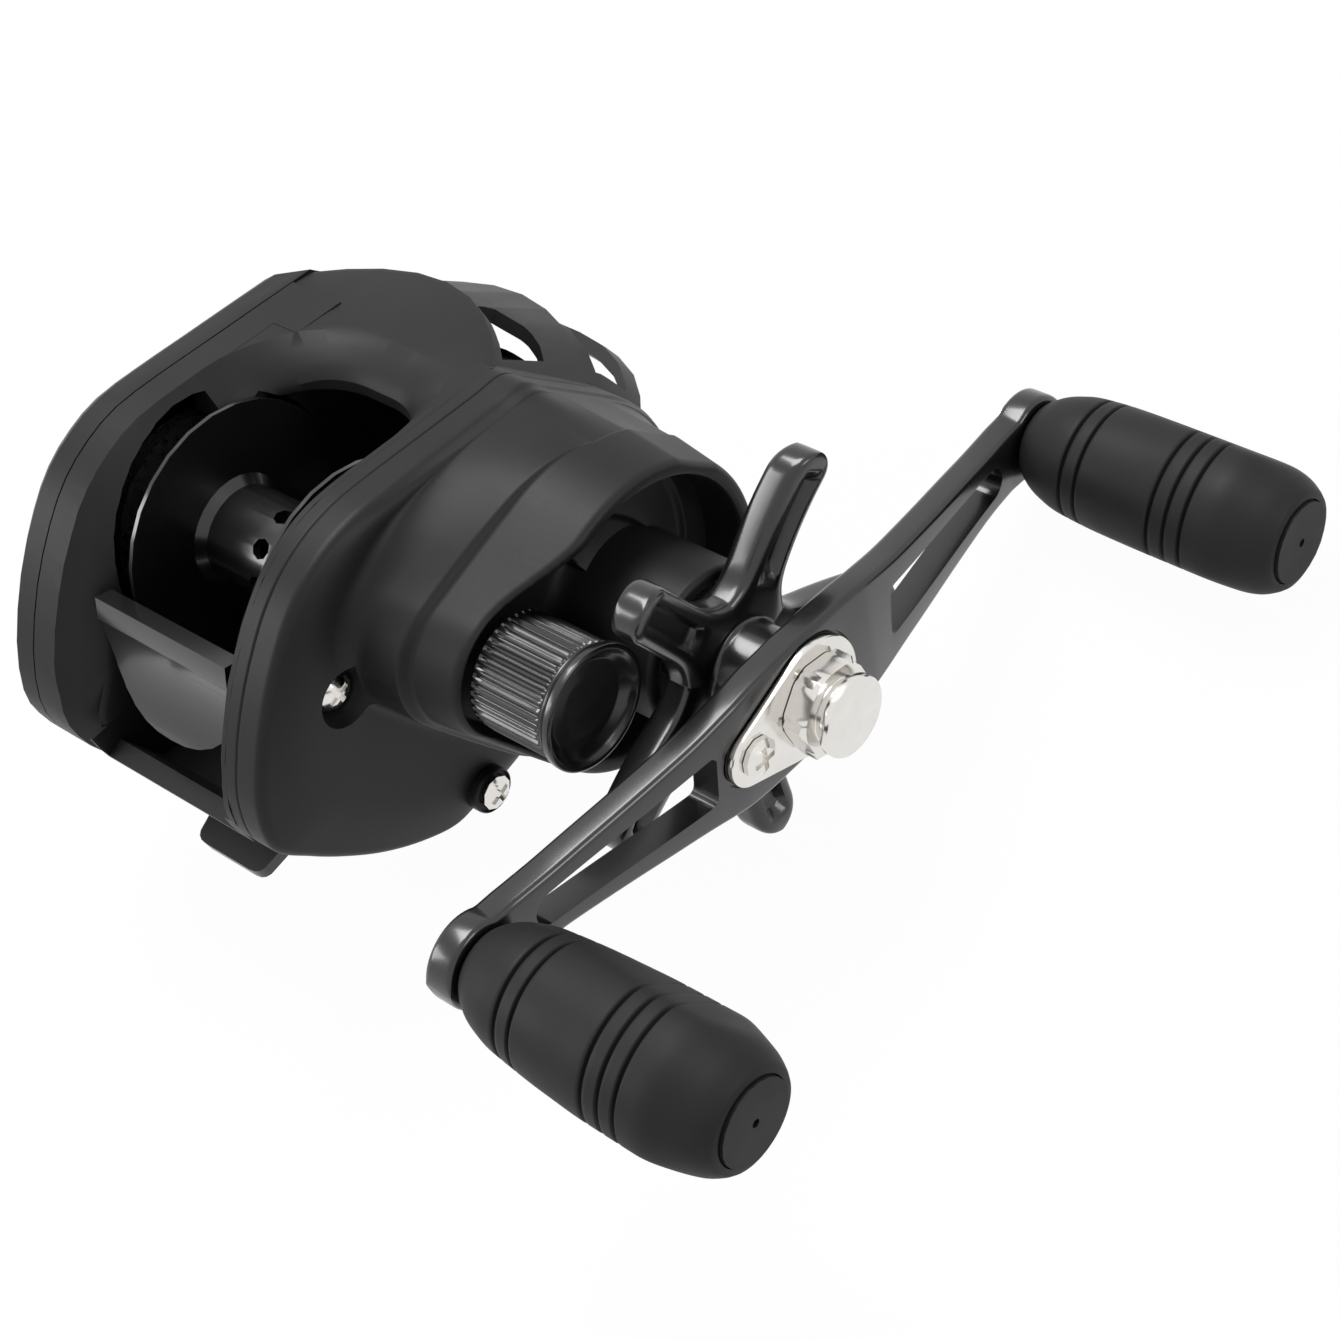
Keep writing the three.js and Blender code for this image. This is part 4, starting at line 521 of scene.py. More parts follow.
class KnobSizes(bpy.types.PropertyGroup):
    """Sizes of the two knob grips."""

    radius: millimetres("Radius", "Largest radius of a grip", 8.65)
    length: millimetres("Length", "Length of a grip", 34.6)
    flat_share: share("Flat share", "Half distance between the flats, as a share of the radius", 0.86)
    flat_turn: turned_by("Flat turn", "Turn of the flats", 25)
    groove_depth: millimetres("Groove depth", "Depth of a grip groove", 0.55)
    groove_half: millimetres("Groove half width", "Half width of a groove", 0.36)
    sides: IntProperty(name="Sides", description="Points round a grip", default=160)


class CoverSizes(bpy.types.PropertyGroup):
    """Sizes of the gear side cover."""

    rays: IntProperty(name="Rays", description="Points round each outline", default=420)
    drum_radius: millimetres("Drum radius", "Radius of the drum's lip", 18.84)
    drum_face: millimetres("Drum face", "X of the drum's lip", 38.4)
    cap_radius: millimetres("Cap pocket radius", "Radius of the pocket round the cap", 8.2)
    cap_lip: millimetres("Cap lip", "X of the lip beside the cap", 34.4)
    lip_width: millimetres("Lip width", "Width of the drum's lip", 2.0)
    foot_x: millimetres("Drum foot", "X of the drum's foot", 30.6)
    floor_x: millimetres("Floor", "X of the sunk floor", 31.6)
    crease_turn: turned_by("Crease turn", "Where the crease at the drum's foot is deepest", 140)
    crease_spread: turned_by("Crease spread", "Half the turn that the crease covers", 82)
    crease_drop: millimetres("Crease drop", "Depth of the crease below the foot", 3.4)
    neck_radius: millimetres("Neck radius", "Radius of the neck", 9.8)
    neck_face: millimetres("Neck face", "X of the neck's end", 47.1)
    bore_radius: millimetres("Neck bore", "Radius of the neck's bore", 8.1)


class StarSizes(bpy.types.PropertyGroup):
    """Sizes of the star drag."""

    reach: millimetres("Reach", "Distance from the axis to an arm's tip", 25.0)
    half_width: millimetres("Half width", "Half width of an arm", 3.3)
    thickness: millimetres("Thickness", "Thickness of an arm", 4.4)
    root_swell: millimetres("Root swell", "Added half width at the hub", 3.0)
    channel_depth: millimetres("Channel depth", "Depth of an arm's channel", 1.3)
    lean: millimetres("Lean", "How far the tips lean out", 2.4)


class ArmSizes(bpy.types.PropertyGroup):
    """Sizes of the handle arm."""

    half_span: millimetres("Half span", "Half the distance between the knobs", 47.5)
    boss_radius: millimetres("Boss radius", "Radius of the arm's round ends", 5.2)
    thickness: millimetres("Thickness", "Thickness of the arm", 3.5)
    front: millimetres("Front", "X of the arm's front face at its middle", 61.2)
    bow: millimetres("Bow", "How far the ends fall back", 3.7)
    edge: millimetres("Edge", "Radius of the arm's edges", 0.75)
    turn: FloatProperty(name="Turn", description="Turn of the arm about the shaft, in degrees", default=-20.6)


class CapSizes(bpy.types.PropertyGroup):
    """Sizes of the cast control cap."""

    ridges: IntProperty(name="Ridges", description="Ridges round the cap", default=40)
    ridge_depth: millimetres("Ridge depth", "Depth between the ridges", 0.42)


class FrameSizes(bpy.types.PropertyGroup):
    """Sizes of the frame's mouth and of the thumb bar."""

    palm_corner: millimetres("Palm corner", "Corner radius on the palm side", 11.0)
    gear_corner: millimetres("Gear corner", "Corner radius on the gear side", 8.0)
    plate_depth: millimetres("Plate depth", "Thickness behind the arch's edge", 5.0)
    palm_bevel: millimetres("Palm bevel", "Width of the bevel on the palm side", 4.3)
    arch_bevel: millimetres("Arch bevel", "Width of the bevel at the arch", 5.0)
    gear_bevel: millimetres("Gear bevel", "Width of the bevel on the gear side", 1.3)
    palm_depth: millimetres("Palm depth", "Depth of the bevel on the palm side", 4.6)
    arch_depth: millimetres("Arch depth", "Depth of the bevel at the arch", 3.2)
    gear_depth: millimetres("Gear depth", "Depth of the bevel on the gear side", 1.4)
    thumb_radius: millimetres("Thumb trough", "Radius of the thumb bar's hollow", 16.0)
    thumb_hollow: millimetres("Thumb hollow", "Depth of the thumb bar's hollow", 1.1)
    thumb_middle: millimetres("Thumb middle", "Distance of the hollow's middle from the bar's top edge", 8.6)


# The finishes, by finish key; the first operator fills them
FINISHES = {}

# The edge angle of the smooth shading that the CAD nodes get
NODE_ANGLE = 32.0


def dress(piece, body, finish, angle):
    """Smooth shading, a finish and its slot, and the body that the piece rides on."""
    soften(piece, angle)
    wear(piece, FINISHES[finish])
    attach(piece, body)


def stand_for(piece, node, finish, angle):
    """Dresses a piece on a CAD node's body and hides that node."""
    dress(piece, frame["nodes"][node]["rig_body"], finish, angle)
    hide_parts(node)


def carve(piece, cutter, operation="DIFFERENCE"):
    """Cuts one closed piece from another, or joins them, and keeps the result as the piece's own mesh."""
    cut = piece.modifiers.new("cut", "BOOLEAN")
    cut.operation = operation
    cut.solver = "EXACT"
    cut.object = cutter
    bpy.context.view_layer.update()
    made = piece.evaluated_get(bpy.context.evaluated_depsgraph_get())
    mesh = bpy.data.meshes.new_from_object(made)
    piece.modifiers.clear()
    old = piece.data
    piece.data = mesh
    bpy.data.meshes.remove(old)
    bpy.data.objects.remove(cutter)


# ----------------------------------------------------------------- knob grips

# A grip's profile from its outer end, as shares of its length and radius, and the places of its grooves
KNOB_SHARES = [(0.0, 0.66), (0.014, 0.71), (0.05, 0.795), (0.2, 1.0), (0.45, 0.972), (0.66, 0.894),
               (0.84, 0.806), (0.93, 0.69), (0.985, 0.54), (1.0, 0.43)]
KNOB_GROOVES = (0.291, 0.352, 0.414, 0.714, 0.775)

# The pocket for the knob's cap: its depth, the gap round the cap and the radius of the bore behind it
POCKET_DEPTH = 1.6
POCKET_GAP = 0.13
POCKET_BORE = 2.0

# How crisply the flats of a grip meet its round, as a power
FLAT_POWER = 30.0


def knob_profile(sizes, face):
    """Stations from the outer end face back to the arm: x = face - s, r from the softened share table,
    with each groove a cosine dip of the groove's depth and half width."""
    plain = rounded([(s * sizes.length, r * sizes.radius) for s, r in KNOB_SHARES], 1.1, 4)
    stations = set(np.linspace(0, sizes.length, 70))
    for groove in KNOB_GROOVES:
        stations |= set(groove * sizes.length + np.linspace(-1, 1, 9) * sizes.groove_half)
    s = np.array(sorted(stations))
    r = np.interp(s, plain[:, 0], plain[:, 1])
    for groove in KNOB_GROOVES:
        off = np.clip(np.abs(s - groove * sizes.length) / sizes.groove_half, 0, 1)
        r -= sizes.groove_depth * (0.5 + 0.5 * np.cos(math.pi * off))
    return np.stack([face - s, r], -1)


def make_knob(node, sizes):
    """A grip turned from its profile, with two flats that cut it at a fixed half distance. The flat's radius
    is f = half / |cos(a - turn)|, and a soft edge joins it to the round: (r^-n + f^-n)^(-1/n)."""
    face = box_mm(node)[1][0]
    centre = centre_mm(node)
    half = sizes.radius * sizes.flat_share
    cap = box_mm(node.replace("knob_", "knob_cap_"))
    pocket = (cap[1][1] - cap[0][1]) / 2 + POCKET_GAP

    def radius_at(r, a):
        flat = half / np.maximum(np.abs(np.cos(a - sizes.flat_turn)), 0.05)
        return (r ** -FLAT_POWER + flat ** -FLAT_POWER) ** (-1 / FLAT_POWER)

    outside = turned_rings(knob_profile(sizes, face), sizes.sides, centre, radius_at)
    inside = turned_rings([(face - POCKET_DEPTH, POCKET_BORE), (face - POCKET_DEPTH, pocket), (face, pocket)],
                          sizes.sides, centre)
    piece = closed_skin(node + "_grip", np.concatenate([inside, outside]))
    stand_for(piece, node, "rubber", 50.0)


# ----------------------------------------------------------- gear side cover

def closed_curve(points, steps):
    """Points of a closed Catmull-Rom curve: on each stretch from P1 to P2 the cubic through P0..P3."""
    points = np.asarray(points, float)
    before, start, end, after = (np.roll(points, shift, 0) for shift in (1, 0, -1, -2))
    t = (np.arange(steps) / steps)[None, :, None]
    p0, p1, p2, p3 = (part[:, None, :] for part in (before, start, end, after))
    run = 0.5 * (2 * p1 + (p2 - p0) * t + (2 * p0 - 5 * p1 + 4 * p2 - p3) * t ** 2
                 + (3 * p1 - p0 - 3 * p2 + p3) * t ** 3)
    return run.reshape(-1, points.shape[1])


def radius_from(points, centre, angles):
    """The distance from a centre to a closed outline at each angle, by interpolation over the angle."""
    offset = points - np.asarray(centre)
    at = np.arctan2(offset[:, 1], offset[:, 0]) % TAU
    order = np.argsort(at)
    return np.interp(angles % TAU, at[order], np.hypot(*offset.T)[order], period=TAU)


# The sectors in which the CAD cover's rim is looked up, their middle as Y and Z, and the points from one to
# the next
RIM_SECTORS = 36
RIM_MIDDLE = (7.0, 19.0)
RIM_STEPS = 12


def cover_outline():
    """The rim of the CAD cover, as its outermost point in each sector, made a smooth closed curve."""
    points = mesh_points(frame["nodes"]["gear_side_cover"].data)
    rim = points[points[:, 0] < COVER_BASE + 0.05][:, 1:]
    offset = rim - np.array(RIM_MIDDLE)
    sector = np.round(np.arctan2(offset[:, 1], offset[:, 0]) / TAU * RIM_SECTORS).astype(int) % RIM_SECTORS
    reach = np.hypot(*offset.T)
    outer = [rim[sector == k][np.argmax(reach[sector == k])] for k in range(RIM_SECTORS)]
    return closed_curve(outer, RIM_STEPS)


def racetrack(angles, drum_radius, cap_radius):
    """The outline round the drum and the cap, seen from the shaft axis: at each angle the furthest reach of
    the circles that run from one to the other. Also gives which circle that was, from 0 at the drum to 1."""
    shares = np.linspace(0, 1, 81)[:, None]
    offset = [(SPOOL_AXIS[k] - SHAFT_AXIS[k]) * shares for k in (0, 1)]
    radius = drum_radius + (cap_radius - drum_radius) * shares
    along = offset[0] * np.cos(angles) + offset[1] * np.sin(angles)
    aside = offset[1] * np.cos(angles) - offset[0] * np.sin(angles)
    root = radius ** 2 - aside ** 2
    reach = np.where(root > 0, along + np.sqrt(np.maximum(root, 0)), 0)
    return reach.max(0), shares[reach.argmax(0), 0]


def round_corners(runs, cuts, steps=5):
    """The same as rounded, for many runs at once: runs[k] holds corner k of each, as rows of radius and x,
    and cuts[k] says how far from corner k its curve starts."""
    out = [runs[0]]
    for k in range(1, len(runs) - 1):
        back, ahead = runs[k - 1] - runs[k], runs[k + 1] - runs[k]
        back_length = np.linalg.norm(back, axis=1, keepdims=True)
        ahead_length = np.linalg.norm(ahead, axis=1, keepdims=True)
        start = runs[k] + back / back_length * np.minimum(cuts[k], back_length * 0.48)
        end = runs[k] + ahead / ahead_length * np.minimum(cuts[k], ahead_length * 0.48)
        for t in np.linspace(0, 1, steps + 1):
            out.append((1 - t) ** 2 * start + 2 * t * (1 - t) * runs[k] + t ** 2 * end)
    out.append(runs[-1])
    return np.array(out)


# The thin groove round the rim band: its X, depth and half width
SEAM_GROOVE = (15.1, 0.2, 0.11)


def seam_dip(x):
    """The depth of the rim band's groove at an x: depth * exp(-((x - place) / half)^2)."""
    place, depth, half = SEAM_GROOVE
    return depth * np.exp(-((x - place) / half) ** 2)


# Height of the rim band, and thickness of the drum's sunk floor
BAND_HEIGHT = 4.7
FLOOR_THICKNESS = 1.4

# A screw's dish, as (x over the screw's seat, radius)
DISH_PROFILE = [(3.6, 4.5), (2.4, 3.6), (1.2, 3.0), (0.0, 2.55)]


def make_cover(sizes):
    """The gear side cover as one closed ring of outlines seen from the shaft axis: the rim band, the facet
    and face that rise to the foot of the drum, the lip round drum and cap, the sunk floor, the neck, and back
    along the inside. Each outline is a radius and an x at every angle."""
    angles = np.arange(sizes.rays) * TAU / sizes.rays
    rim = radius_from(cover_outline(), SHAFT_AXIS, angles)
    foot, along = racetrack(angles, sizes.drum_radius + 0.9, sizes.cap_radius + 0.8)
    lip_outer = racetrack(angles, sizes.drum_radius, sizes.cap_radius + 0.5)[0]
    lip_inner = racetrack(angles, sizes.drum_radius - sizes.lip_width, sizes.cap_radius)[0]
    top = sizes.drum_face + (sizes.cap_lip - sizes.drum_face) * smooth_step(along)
    rearness = smooth_step((0.45 - np.cos(angles - 0.25)) / 1.35)
    off_crease = np.abs((angles - sizes.crease_turn + math.pi) % TAU - math.pi)
    crease = np.clip(1 - off_crease / sizes.crease_spread, 0, 1) ** 0.6
    blend = 0.3 + 0.66 * rearness
    edge = rim * 0.985
    foot = np.minimum(foot, edge - 0.8)
    lip_outer = np.minimum(lip_outer, edge - 1.6)
    lip_inner = np.minimum(lip_inner, lip_outer - sizes.lip_width * 0.6)
    shoulder = edge + (np.minimum(foot + 0.6, edge) - edge) * blend
    facet = edge + (shoulder - edge) * 0.34
    soft = (6.0 - 4.2 * rearness)[:, None]
    foot_x, floor_x, neck_x = sizes.foot_x, sizes.floor_x, sizes.neck_face
    neck, bore = sizes.neck_radius, sizes.bore_radius
    behind = floor_x - FLOOR_THICKNESS

    def row(radius, x):
        return np.stack([radius + 0 * rim, x + 0 * rim], -1)

    corners = [
        (row(rim, SEAM_X), 0), (row(rim, COVER_BASE + BAND_HEIGHT), 0.4), (row(edge, COVER_BASE + 5.4), 0.6),
        (row(facet, COVER_BASE + 6.5), 2.0), (row(shoulder, COVER_BASE + 6.8), soft),
        (row(foot + 1.5 * crease, foot_x - sizes.crease_drop * crease), 0.35),
        (row(foot + 0.25, foot_x - (sizes.crease_drop - 0.9) * crease), 0.5),
        (row(lip_outer, top - 0.6), 0.5), (row(lip_outer - 0.5, top), 0.35),
        (row(lip_inner + 0.3, top), 0.4), (row(lip_inner, top - 0.8), 0.6),
        (row(lip_inner - 0.5, floor_x), 0.7), (row(neck + 0.9, floor_x), 1.0),
        (row(neck, floor_x + 1.4), 1.0), (row(neck, neck_x - 0.5), 0.4), (row(neck - 0.5, neck_x), 0.3),
        (row(bore, neck_x), 0.3), (row(bore, behind), 0.3),
        (row(np.maximum(foot - 2.4, bore + 0.6), behind), 0.5),
        (row(shoulder - 1.5, COVER_BASE + 6.0), 0.5), (row(edge - 1.4, COVER_BASE + 4.4), 0.5),
        (row(rim - 1.4, SEAM_X), 0),
    ]
    runs = round_corners(*zip(*corners))
    band = np.linspace(SEAM_X, COVER_BASE + BAND_HEIGHT - 0.7, 43)
    runs = np.concatenate([[row(rim - seam_dip(x), x) for x in band], runs[1:]])
    radius, x = runs[..., 0], runs[..., 1]
    y = SHAFT_AXIS[0] + radius * np.cos(angles)
    z = SHAFT_AXIS[1] + radius * np.sin(angles)
    piece = closed_ring_skin("gear_cover_skin", np.stack([x, y, z], -1))
    for name, seat, top, radius in COVER_DISHES:
        base, centre = COVER_BASE + 0.7, centre_mm(name)
        post = rounded([(base, 0.2), (base, radius), (top, radius), (top, 0.2)], 0.6)
        carve(piece, closed_skin("post", turned_rings(post, 64, centre)), "UNION")
        dish = [(seat + rise, reach) for rise, reach in DISH_PROFILE]
        carve(piece, closed_skin("dish", turned_rings(dish, 64, centre)))
    stand_for(piece, "gear_side_cover", "body", 38.0)


# The relief on the drum's floor: its points, the number of petals, where the first starts as a share of one,
# how far a petal twists for each millimetre outwards, and the share of it that rises
PETAL_RAYS = 360
PETAL_RINGS = 44
PETALS = 5
PETAL_START = 0.35
PETAL_TWIST = 0.17
PETAL_RISE = 0.86


def make_petals(sizes):
    """The relief on the front half of the drum's floor. At radius r and angle a the height is a cone that
    falls from the neck, plus petals that rise along a - twist * r and end in a short steep side. It drops to
    the floor behind a line just behind the shaft axis."""
    angles = np.arange(PETAL_RAYS) * TAU / PETAL_RAYS
    outer = sizes.drum_radius - sizes.lip_width - 0.25
    radii = np.linspace(outer, sizes.neck_radius - 0.6, PETAL_RINGS)[:, None] + 0 * angles
    y = SHAFT_AXIS[0] + radii * np.cos(angles)
    z = SHAFT_AXIS[1] + radii * np.sin(angles)
    inward = (outer - radii) / (outer - sizes.neck_radius)
    swirl = ((angles - PETAL_TWIST * (radii - sizes.neck_radius)) / TAU * PETALS + PETAL_START) % 1.0
    petal = np.where(swirl < PETAL_RISE, (swirl / PETAL_RISE) ** 1.6, ((1 - swirl) / (1 - PETAL_RISE)) ** 2)
    x = sizes.floor_x + 1.0 + 1.3 * inward ** 2 + 0.95 * petal * (0.35 + 0.65 * inward)
    line = 13.0 + 0.16 * np.minimum(z - SHAFT_AXIS[1], 0)
    sunk = sizes.floor_x - 0.3
    x = sunk + (x - sunk) * smooth_step((y - line) / 0.5)
    top = np.stack([x, y, z], -1)
    outer_foot, inner_foot = top[:1].copy(), top[-1:].copy()
    outer_foot[..., 0] = inner_foot[..., 0] = sizes.floor_x - 0.6
    piece = closed_ring_skin("drum_relief", np.concatenate([outer_foot, top, inner_foot]))
    dress(piece, "reel_body", "body", 50.0)


# -------------------------------------------------------------- star drag

# The star's arms, the turn of the first in degrees, X of their back, and the radii at which an arm starts and
# its channel and lean begin
STAR_ARMS = 5
STAR_TURN = 33
STAR_BACK = 47.7
STAR_ROOT = 4.5
STAR_HUB = 8.0

# The radius of the star's bore and X of its sleeve's end
STAR_BORE = 3.1
SLEEVE_END = 57.4


def spun(points, turn, centre):
    """Points in X and a Y, Z offset from an axis, turned about that axis by an angle and moved to it."""
    x, y, z = points[..., 0], points[..., 1], points[..., 2]
    return np.stack([x, centre[0] + y * math.cos(turn) - z * math.sin(turn),
                     centre[1] + y * math.sin(turn) + z * math.cos(turn)], -1)


def make_star(sizes):
    """Channelled paddles and a hub. An arm's section at radius r is a rounded box of half width w(r), which
    swells at the hub, is even along the arm and closes in a half circle at the tip. Its front is hollowed by
    d(r) between its two rims, and the whole leans out with the square of the share of the way to the tip."""
    back, tip = STAR_BACK, sizes.reach - sizes.half_width
    bend = np.sin(np.linspace(0.06, 1.53, 18))
    r = np.concatenate([np.linspace(STAR_ROOT, tip, 46), tip + sizes.half_width * bend])
    outwards = np.clip((r - STAR_HUB) / (sizes.reach - STAR_HUB), 0, 1)
    tip_share = np.clip((r - tip) / sizes.half_width, 0, 1)
    half = sizes.half_width * np.sqrt(1 - tip_share ** 2)
    half += sizes.root_swell * np.exp(-((r - STAR_ROOT) / 3.4) ** 2)
    hollow = np.clip((r - STAR_HUB - 1.0) / 2.5, 0, 1) * np.clip((tip + 1.2 - r) / 1.6, 0, 1)
    lean = sizes.lean * outwards ** 2
    around = np.arange(96) * TAU / 96
    side = np.sign(np.sin(around)) * np.abs(np.sin(around)) ** 0.45
    rise = np.sign(np.cos(around)) * np.abs(np.cos(around)) ** 0.45
    depth = sizes.thickness / 2 * (1 - 0.25 * tip_share ** 3)
    channel = sizes.channel_depth * smooth_step((0.5 - np.abs(side)) / 0.2) * (rise > 0)
    x = back + sizes.thickness / 2 + lean[:, None] + depth[:, None] * rise - hollow[:, None] * channel
    y = np.repeat(r[:, None], len(around), 1)
    arm = np.stack([x, y, half[:, None] * side], -1)
    hub = rounded([(back, STAR_BORE), (back, 8.3), (back + 3.4, 8.6), (back + 3.9, 6.6), (back + 4.6, 5.5),
                   (SLEEVE_END, 5.3), (SLEEVE_END, STAR_BORE)], 0.5)
    piece = closed_ring_skin("star_skin", turned_rings(hub, 96, SHAFT_AXIS))
    for angle in np.radians(STAR_TURN + np.arange(STAR_ARMS) * 360 / STAR_ARMS):
        carve(piece, closed_skin("star_arm", spun(arm, angle, SHAFT_AXIS)), "UNION")
    stand_for(piece, "star_drag", "gloss", 42.0)


# ------------------------------------------------- handle arm, plate and nut

# The handle arm's half width at distances from its middle, and where its bow starts and ends
ARM_WIDTHS = [(0, 8.2), (6.6, 8.1), (10.9, 7.7), (17.1, 6.5), (27.1, 5.3), (37.0, 4.3), (42.3, 4.2),
              (47.5, 4.6)]
BOW_START = 11.0
BOW_END = 42.3

# A slot of the arm: its round outer end, the corners of its inner end, and their rounding
SLOT_END = 38.0
SLOT_END_RADIUS = 2.1
SLOT_INNER = [(15.4, 3.35), (14.6, -3.35)]
SLOT_ROUNDING = 1.1

# The plate on the arm: the circle at its middle, the one round its screw, and how far they are apart
PLATE_RADIUS = 7.3
PLATE_TIP_RADIUS = 3.8
PLATE_LENGTH = 10.0

# The recess that the plate lies in: its gap round the plate and its depth
RECESS_GAP = 0.35
RECESS_DEPTH = 0.5


def arm_half_width(s, sizes):
    """The half width of the handle arm at each distance from its middle, and a round boss at its end. The
    listed widths are averaged over a window of points, the run being mirrored at its start and held at its
    end."""
    window = 31
    pad = window - 1
    fine = np.linspace(0, sizes.half_span, 200)
    width = np.interp(fine, *zip(*ARM_WIDTHS))
    kernel = np.hanning(window)
    padded = np.concatenate([width[pad:0:-1], width, np.full(pad, width[-1])])
    width = np.convolve(padded, kernel / kernel.sum(), "same")[pad:-pad]
    boss = np.sqrt(np.maximum(sizes.boss_radius ** 2 - (s - sizes.half_span) ** 2, 0))
    return np.where(s > sizes.half_span, boss, np.maximum(np.interp(s, fine, width), boss))


def arm_drop(s, sizes):
    """How far the arm's face falls back at each distance from its middle: 0.35 of the bow as an ease, and the
    rest in proportion to the distance."""
    outwards = np.clip((s - BOW_START) / (BOW_END - BOW_START), 0, 1)
    return sizes.bow * (0.35 * smooth_step(outwards) + 0.65 * outwards)


def make_arm(sizes):
    """The handle arm as sections across its length. Each is a box with round edges, of the half width at
    that place, dropped by the arm's bow. Two tapered slots and the plate's recess are cut out of it."""
    bend = np.sin(np.linspace(0.04, 1.52, 22))
    places = np.concatenate([np.linspace(0, sizes.half_span, 90), sizes.half_span + sizes.boss_radius * bend])
    s = np.concatenate([-places[:0:-1], places])
    half = arm_half_width(np.abs(s), sizes)
    drop = arm_drop(np.abs(s), sizes)
    thick = sizes.thickness
    edge = np.minimum(sizes.edge, half * 0.7)
    corner = np.linspace(0, math.pi / 2, 6)
    section_x, section_z = [], []
    for sign_x, sign_z in ((1, 1), (-1, 1), (-1, -1), (1, -1)):
        for angle in corner[::sign_x * sign_z]:
            section_x.append(sign_x * (thick / 2 - edge) + sign_x * edge * math.cos(angle))
            section_z.append(sign_z * (half - edge) + sign_z * edge * math.sin(angle))
    x = np.array(section_x).T + (sizes.front - thick / 2 - drop)[:, None]
    z = np.array(section_z).T
    y = np.repeat(s[:, None], x.shape[1], 1)
    turn = math.radians(sizes.turn)
    piece = closed_skin("arm_skin", spun(np.stack([x, y, z], -1), turn, SHAFT_AXIS))
    for half_turn in (0, math.pi):
        slot = slab("slot", slot_outline(), sizes.front - sizes.bow - thick - 2, sizes.front + 2)
        turn_about_shaft(slot, turn + half_turn)
        carve(piece, slot)
    recess = slab("recess", plate_outline(RECESS_GAP), sizes.front - RECESS_DEPTH, sizes.front + 3)
    turn_about_shaft(recess, turn)
    carve(piece, recess)
    stand_for(piece, "handle_arm", "gloss", 33.0)


def turn_about_shaft(piece, turn):
    """Turns a piece's own points about the shaft axis and moves them onto it."""
    points = spun(mesh_points(piece.data), turn, SHAFT_AXIS) * MM
    piece.data.vertices.foreach_set("co", points.ravel())
    piece.data.update()


def arc(middle, radius, start, end, steps):
    """Points round a circle whose middle stands on the arm's line, from one angle to another."""
    angles = np.linspace(start, end, steps)
    return np.stack([middle + radius * np.cos(angles), radius * np.sin(angles)], -1)


def slot_outline():
    """A long slot that narrows outwards, with a slanted inner end and a round outer one."""
    tip = arc(SLOT_END, SLOT_END_RADIUS, -math.pi / 2, math.pi / 2, 17)
    inner = rounded([tip[-1], *SLOT_INNER, tip[0]], SLOT_ROUNDING, 5)
    return np.concatenate([tip, inner[1:-1]])


def plate_outline(gap, steps=40):
    """The outline round the plate's two circles, wider than the plate by a gap. Its straight sides touch the
    circles at acos(difference of their radii / distance)."""
    radius, tip_radius = PLATE_RADIUS + gap, PLATE_TIP_RADIUS + gap
    lean = math.acos((radius - tip_radius) / PLATE_LENGTH)
    return np.concatenate([arc(0, radius, lean - math.pi, math.pi - lean, steps),
                           arc(-PLATE_LENGTH, tip_radius, math.pi - lean, math.pi + lean, steps // 2)])


def slab(name, outline, back, front, bevel=0.0):
    """A flat outline given thickness along X, with its edges rounded by a bevel: where x stands the bevel
    times 1 - cos t from a face, the outline moves in along its normals by the bevel times 1 - sin t."""
    outline = np.asarray(outline, float)
    along = np.roll(outline, -1, 0) - np.roll(outline, 1, 0)
    normal = np.stack([along[:, 1], -along[:, 0]], -1) / np.linalg.norm(along, axis=1, keepdims=True)
    turn = np.linspace(0, math.pi / 2, 4) if bevel else np.array([0.0])
    depth, inset = bevel * (1 - np.cos(turn)), bevel * (1 - np.sin(turn))
    places = zip([*(back + depth), *(front - depth[::-1])], [*inset, *inset[::-1]])
    rings = [np.insert(outline - normal * aside, 0, x, 1) for x, aside in places]
    return closed_skin(name, rings)


def make_cap(sizes):
    """The cast control cap: rounded ridges round its wall, r = R - depth * |cos(n a / 2)|^1.5, a flared
    smooth rim and a hollow end."""
    base, face = (corner[0] for corner in box_mm("cast_control_cap"))
    profile = rounded([(base, 6.3), (base, 6.85), (face - 2.2, 7.0), (face - 1.7, 6.75), (face - 1.0, 7.45),
                       (face - 0.15, 7.45), (face, 7.25), (face, 6.9), (face - 0.7, 6.3), (face - 1.5, 5.2),
                       (face - 2.0, 2.6), (face - 2.1, 0.3)], 0.3, 4)
    stations = np.linspace(base + 0.5, face - 2.6, 9)
    head = profile[profile[:, 0] <= base + 0.4]
    wall = np.stack([stations, np.full(9, 6.98)], -1)
    tail = profile[len(head):]
    tail = tail[np.cumsum(tail[:, 0] > face - 2.5) > 0]
    run = np.concatenate([head, wall, tail])
    ridged = ((run[:, 0] > base + 0.3) & (run[:, 0] < face - 2.0) & (run[:, 1] > 6.6))[:, None]

    def radius_at(r, a):
        return r - sizes.ridge_depth * np.abs(np.cos(a * sizes.ridges / 2)) ** 1.5 * ridged

    piece = closed_skin("cap_skin", turned_rings(run, sizes.ridges * 12, SPOOL_AXIS, radius_at))
    stand_for(piece, "cast_control_cap", "gloss", 40.0)


